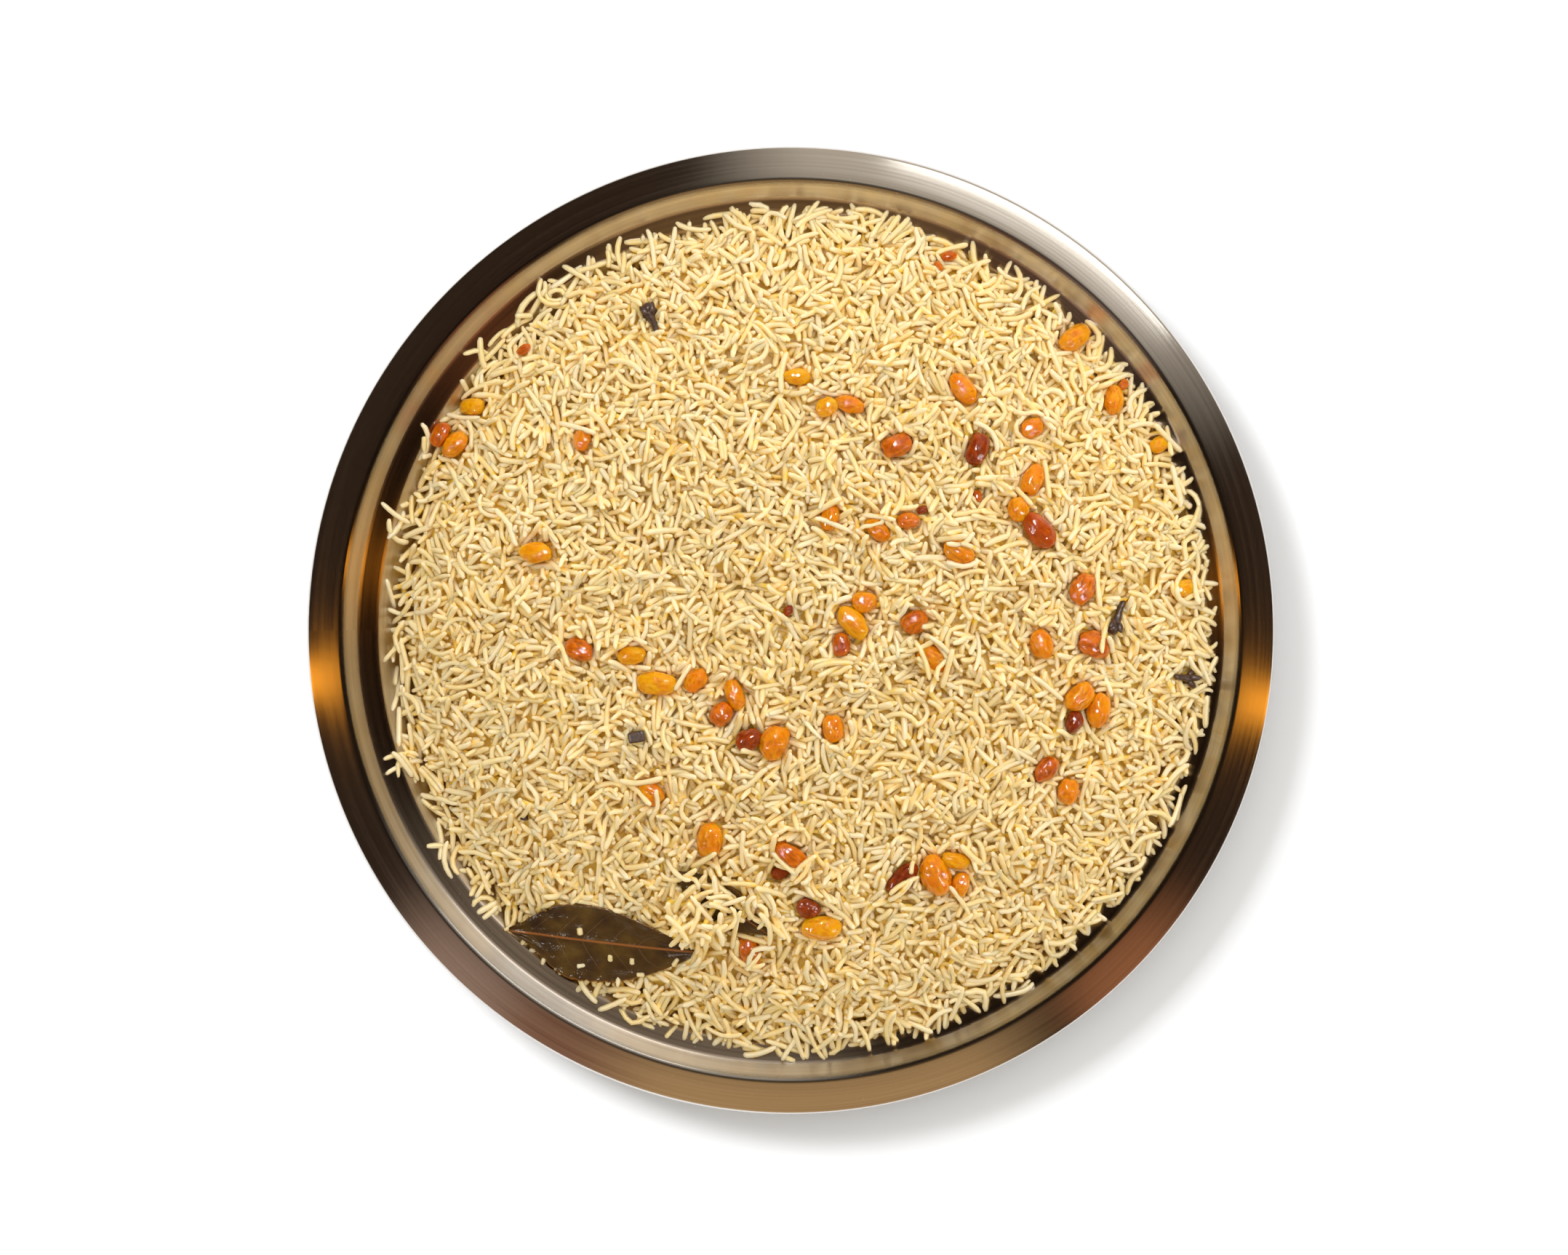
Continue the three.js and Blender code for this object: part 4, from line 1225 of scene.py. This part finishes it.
def light_room():
    """A pale room for what the light falls on, and a dim, warm one for what the steel mirrors."""
    world = bpy.data.worlds.new("room")
    world.use_nodes = True
    world.cycles.sampling_method = "NONE"  # else the light for matt surfaces shows in the steel
    world.node_tree.nodes.clear()
    nodes = Nodes(world.node_tree)
    mixer = nodes.node("ShaderNodeMixShader")
    nodes.link(nodes.node("ShaderNodeLightPath").outputs["Is Glossy Ray"], mixer.inputs[0])
    lights = ((soft_colour(nodes), SOFT_LIGHT), (room_colour(nodes), ROOM_STRENGTH))
    for slot, (colour, strength) in enumerate(lights, 1):
        background = nodes.node("ShaderNodeBackground")
        nodes.link(colour, background.inputs["Color"])
        nodes.feed(strength, background.inputs["Strength"])
        nodes.link(background.outputs[0], mixer.inputs[slot])
    nodes.link(mixer.outputs[0], nodes.node("ShaderNodeOutputWorld").inputs["Surface"])
    bpy.context.scene.world = world


def soft_colour(nodes):
    """Light from all over, brighter towards the key light."""
    towards = nodes.node("ShaderNodeVectorMath", operation="DOT_PRODUCT")
    towards.inputs[1].default_value = way_to(KEY_AZIMUTH, SOFT_ELEVATION)
    nodes.link(nodes.node("ShaderNodeTexCoord").outputs["Generated"], towards.inputs[0])
    share = nodes.maths("MULTIPLY_ADD", towards.outputs["Value"], 0.5, 0.5)
    return nodes.ramp(share, (0.1, SHADE_SIDE), (0.95, LIT_SIDE))


def for_room(colour):
    return tuple(value / ROOM_STRENGTH for value in colour)


def room_colour(nodes):
    """What the steel mirrors: walls by azimuth, two warm lamps, and dimmer overhead."""
    parts = nodes.node("ShaderNodeSeparateXYZ")
    nodes.link(nodes.node("ShaderNodeTexCoord").outputs["Generated"], parts.inputs[0])
    turn = nodes.maths("ARCTAN2", parts.outputs[1], parts.outputs[0])
    share = nodes.maths("FRACT", nodes.maths("MULTIPLY_ADD", turn, 1 / (2 * math.pi), 1.0))
    walls = [(at / 360, for_room(colour)) for at, colour in WALLS]
    lamps = []
    for at in LAMP_AZIMUTHS:
        for offset, colour in ((-2, BLACK), (-1, LAMP), (1, LAMP), (2, BLACK)):
            lamps.append(((at + offset * LAMP_HALF_WIDTH / 1.5) / 360, for_room(colour)))
    low = nodes.node("ShaderNodeMapRange")
    for name, value in zip(("From Min", "From Max", "To Min", "To Max"), (*HIGH_UP, 1, 0)):
        low.inputs[name].default_value = value
    nodes.link(parts.outputs[2], low.inputs["Value"])
    dimmer = nodes.maths("MULTIPLY_ADD", low.outputs[0], 1 - OVERHEAD, OVERHEAD)
    total = nodes.node("ShaderNodeVectorMath")
    for slot, (stops, scale) in enumerate(((walls, dimmer), (lamps, low.outputs[0]))):
        product = nodes.node("ShaderNodeVectorMath", operation="SCALE")
        nodes.link(nodes.ramp(share, *stops), product.inputs[0])
        nodes.link(scale, product.inputs["Scale"])
        nodes.link(product.outputs[0], total.inputs[slot])
    return total.outputs[0]


def make_camera():
    camera = bpy.data.cameras.new("camera")
    camera.sensor_width = 36
    camera.lens = camera.sensor_width * CAMERA_HEIGHT / VIEW_WIDTH
    camera.clip_start = 0.01
    stand = bpy.data.objects.new("camera", camera)
    rim_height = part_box("dish")[1].z
    stand.location = (*CAMERA_OFFSET, rim_height + CAMERA_HEIGHT)
    bpy.context.scene.collection.objects.link(stand)
    bpy.context.scene.camera = stand


make_camera()
light_room()
bpy.context.scene.view_settings.view_transform = "Standard"
bpy.context.scene.cycles.diffuse_bounces = 6  # light finds its way down between pale grains
platter = collected("platter", [make_dish()])
floor = collected("floor", [make_floor()])
fruit = make_all_fruit()
cloves = make_cloves()
leaves = [make_leaf(name, leaf_material(), 3 * i) for i, name in enumerate(nodes_named("bay_leaf"))]
rice = make_rice(fruit, cloves + leaves)
food = collected("food", fruit + cloves + leaves + rice)
add_softbox("key", *KEY, food)
add_softbox("floor_light", *FLOOR_LIGHT, floor)
for glints, pieces in ((FOOD_GLINTS, food), (STEEL_GLINTS, platter)):
    for name, placing in glints.items():
        add_softbox(name, *placing, pieces, glint=True)
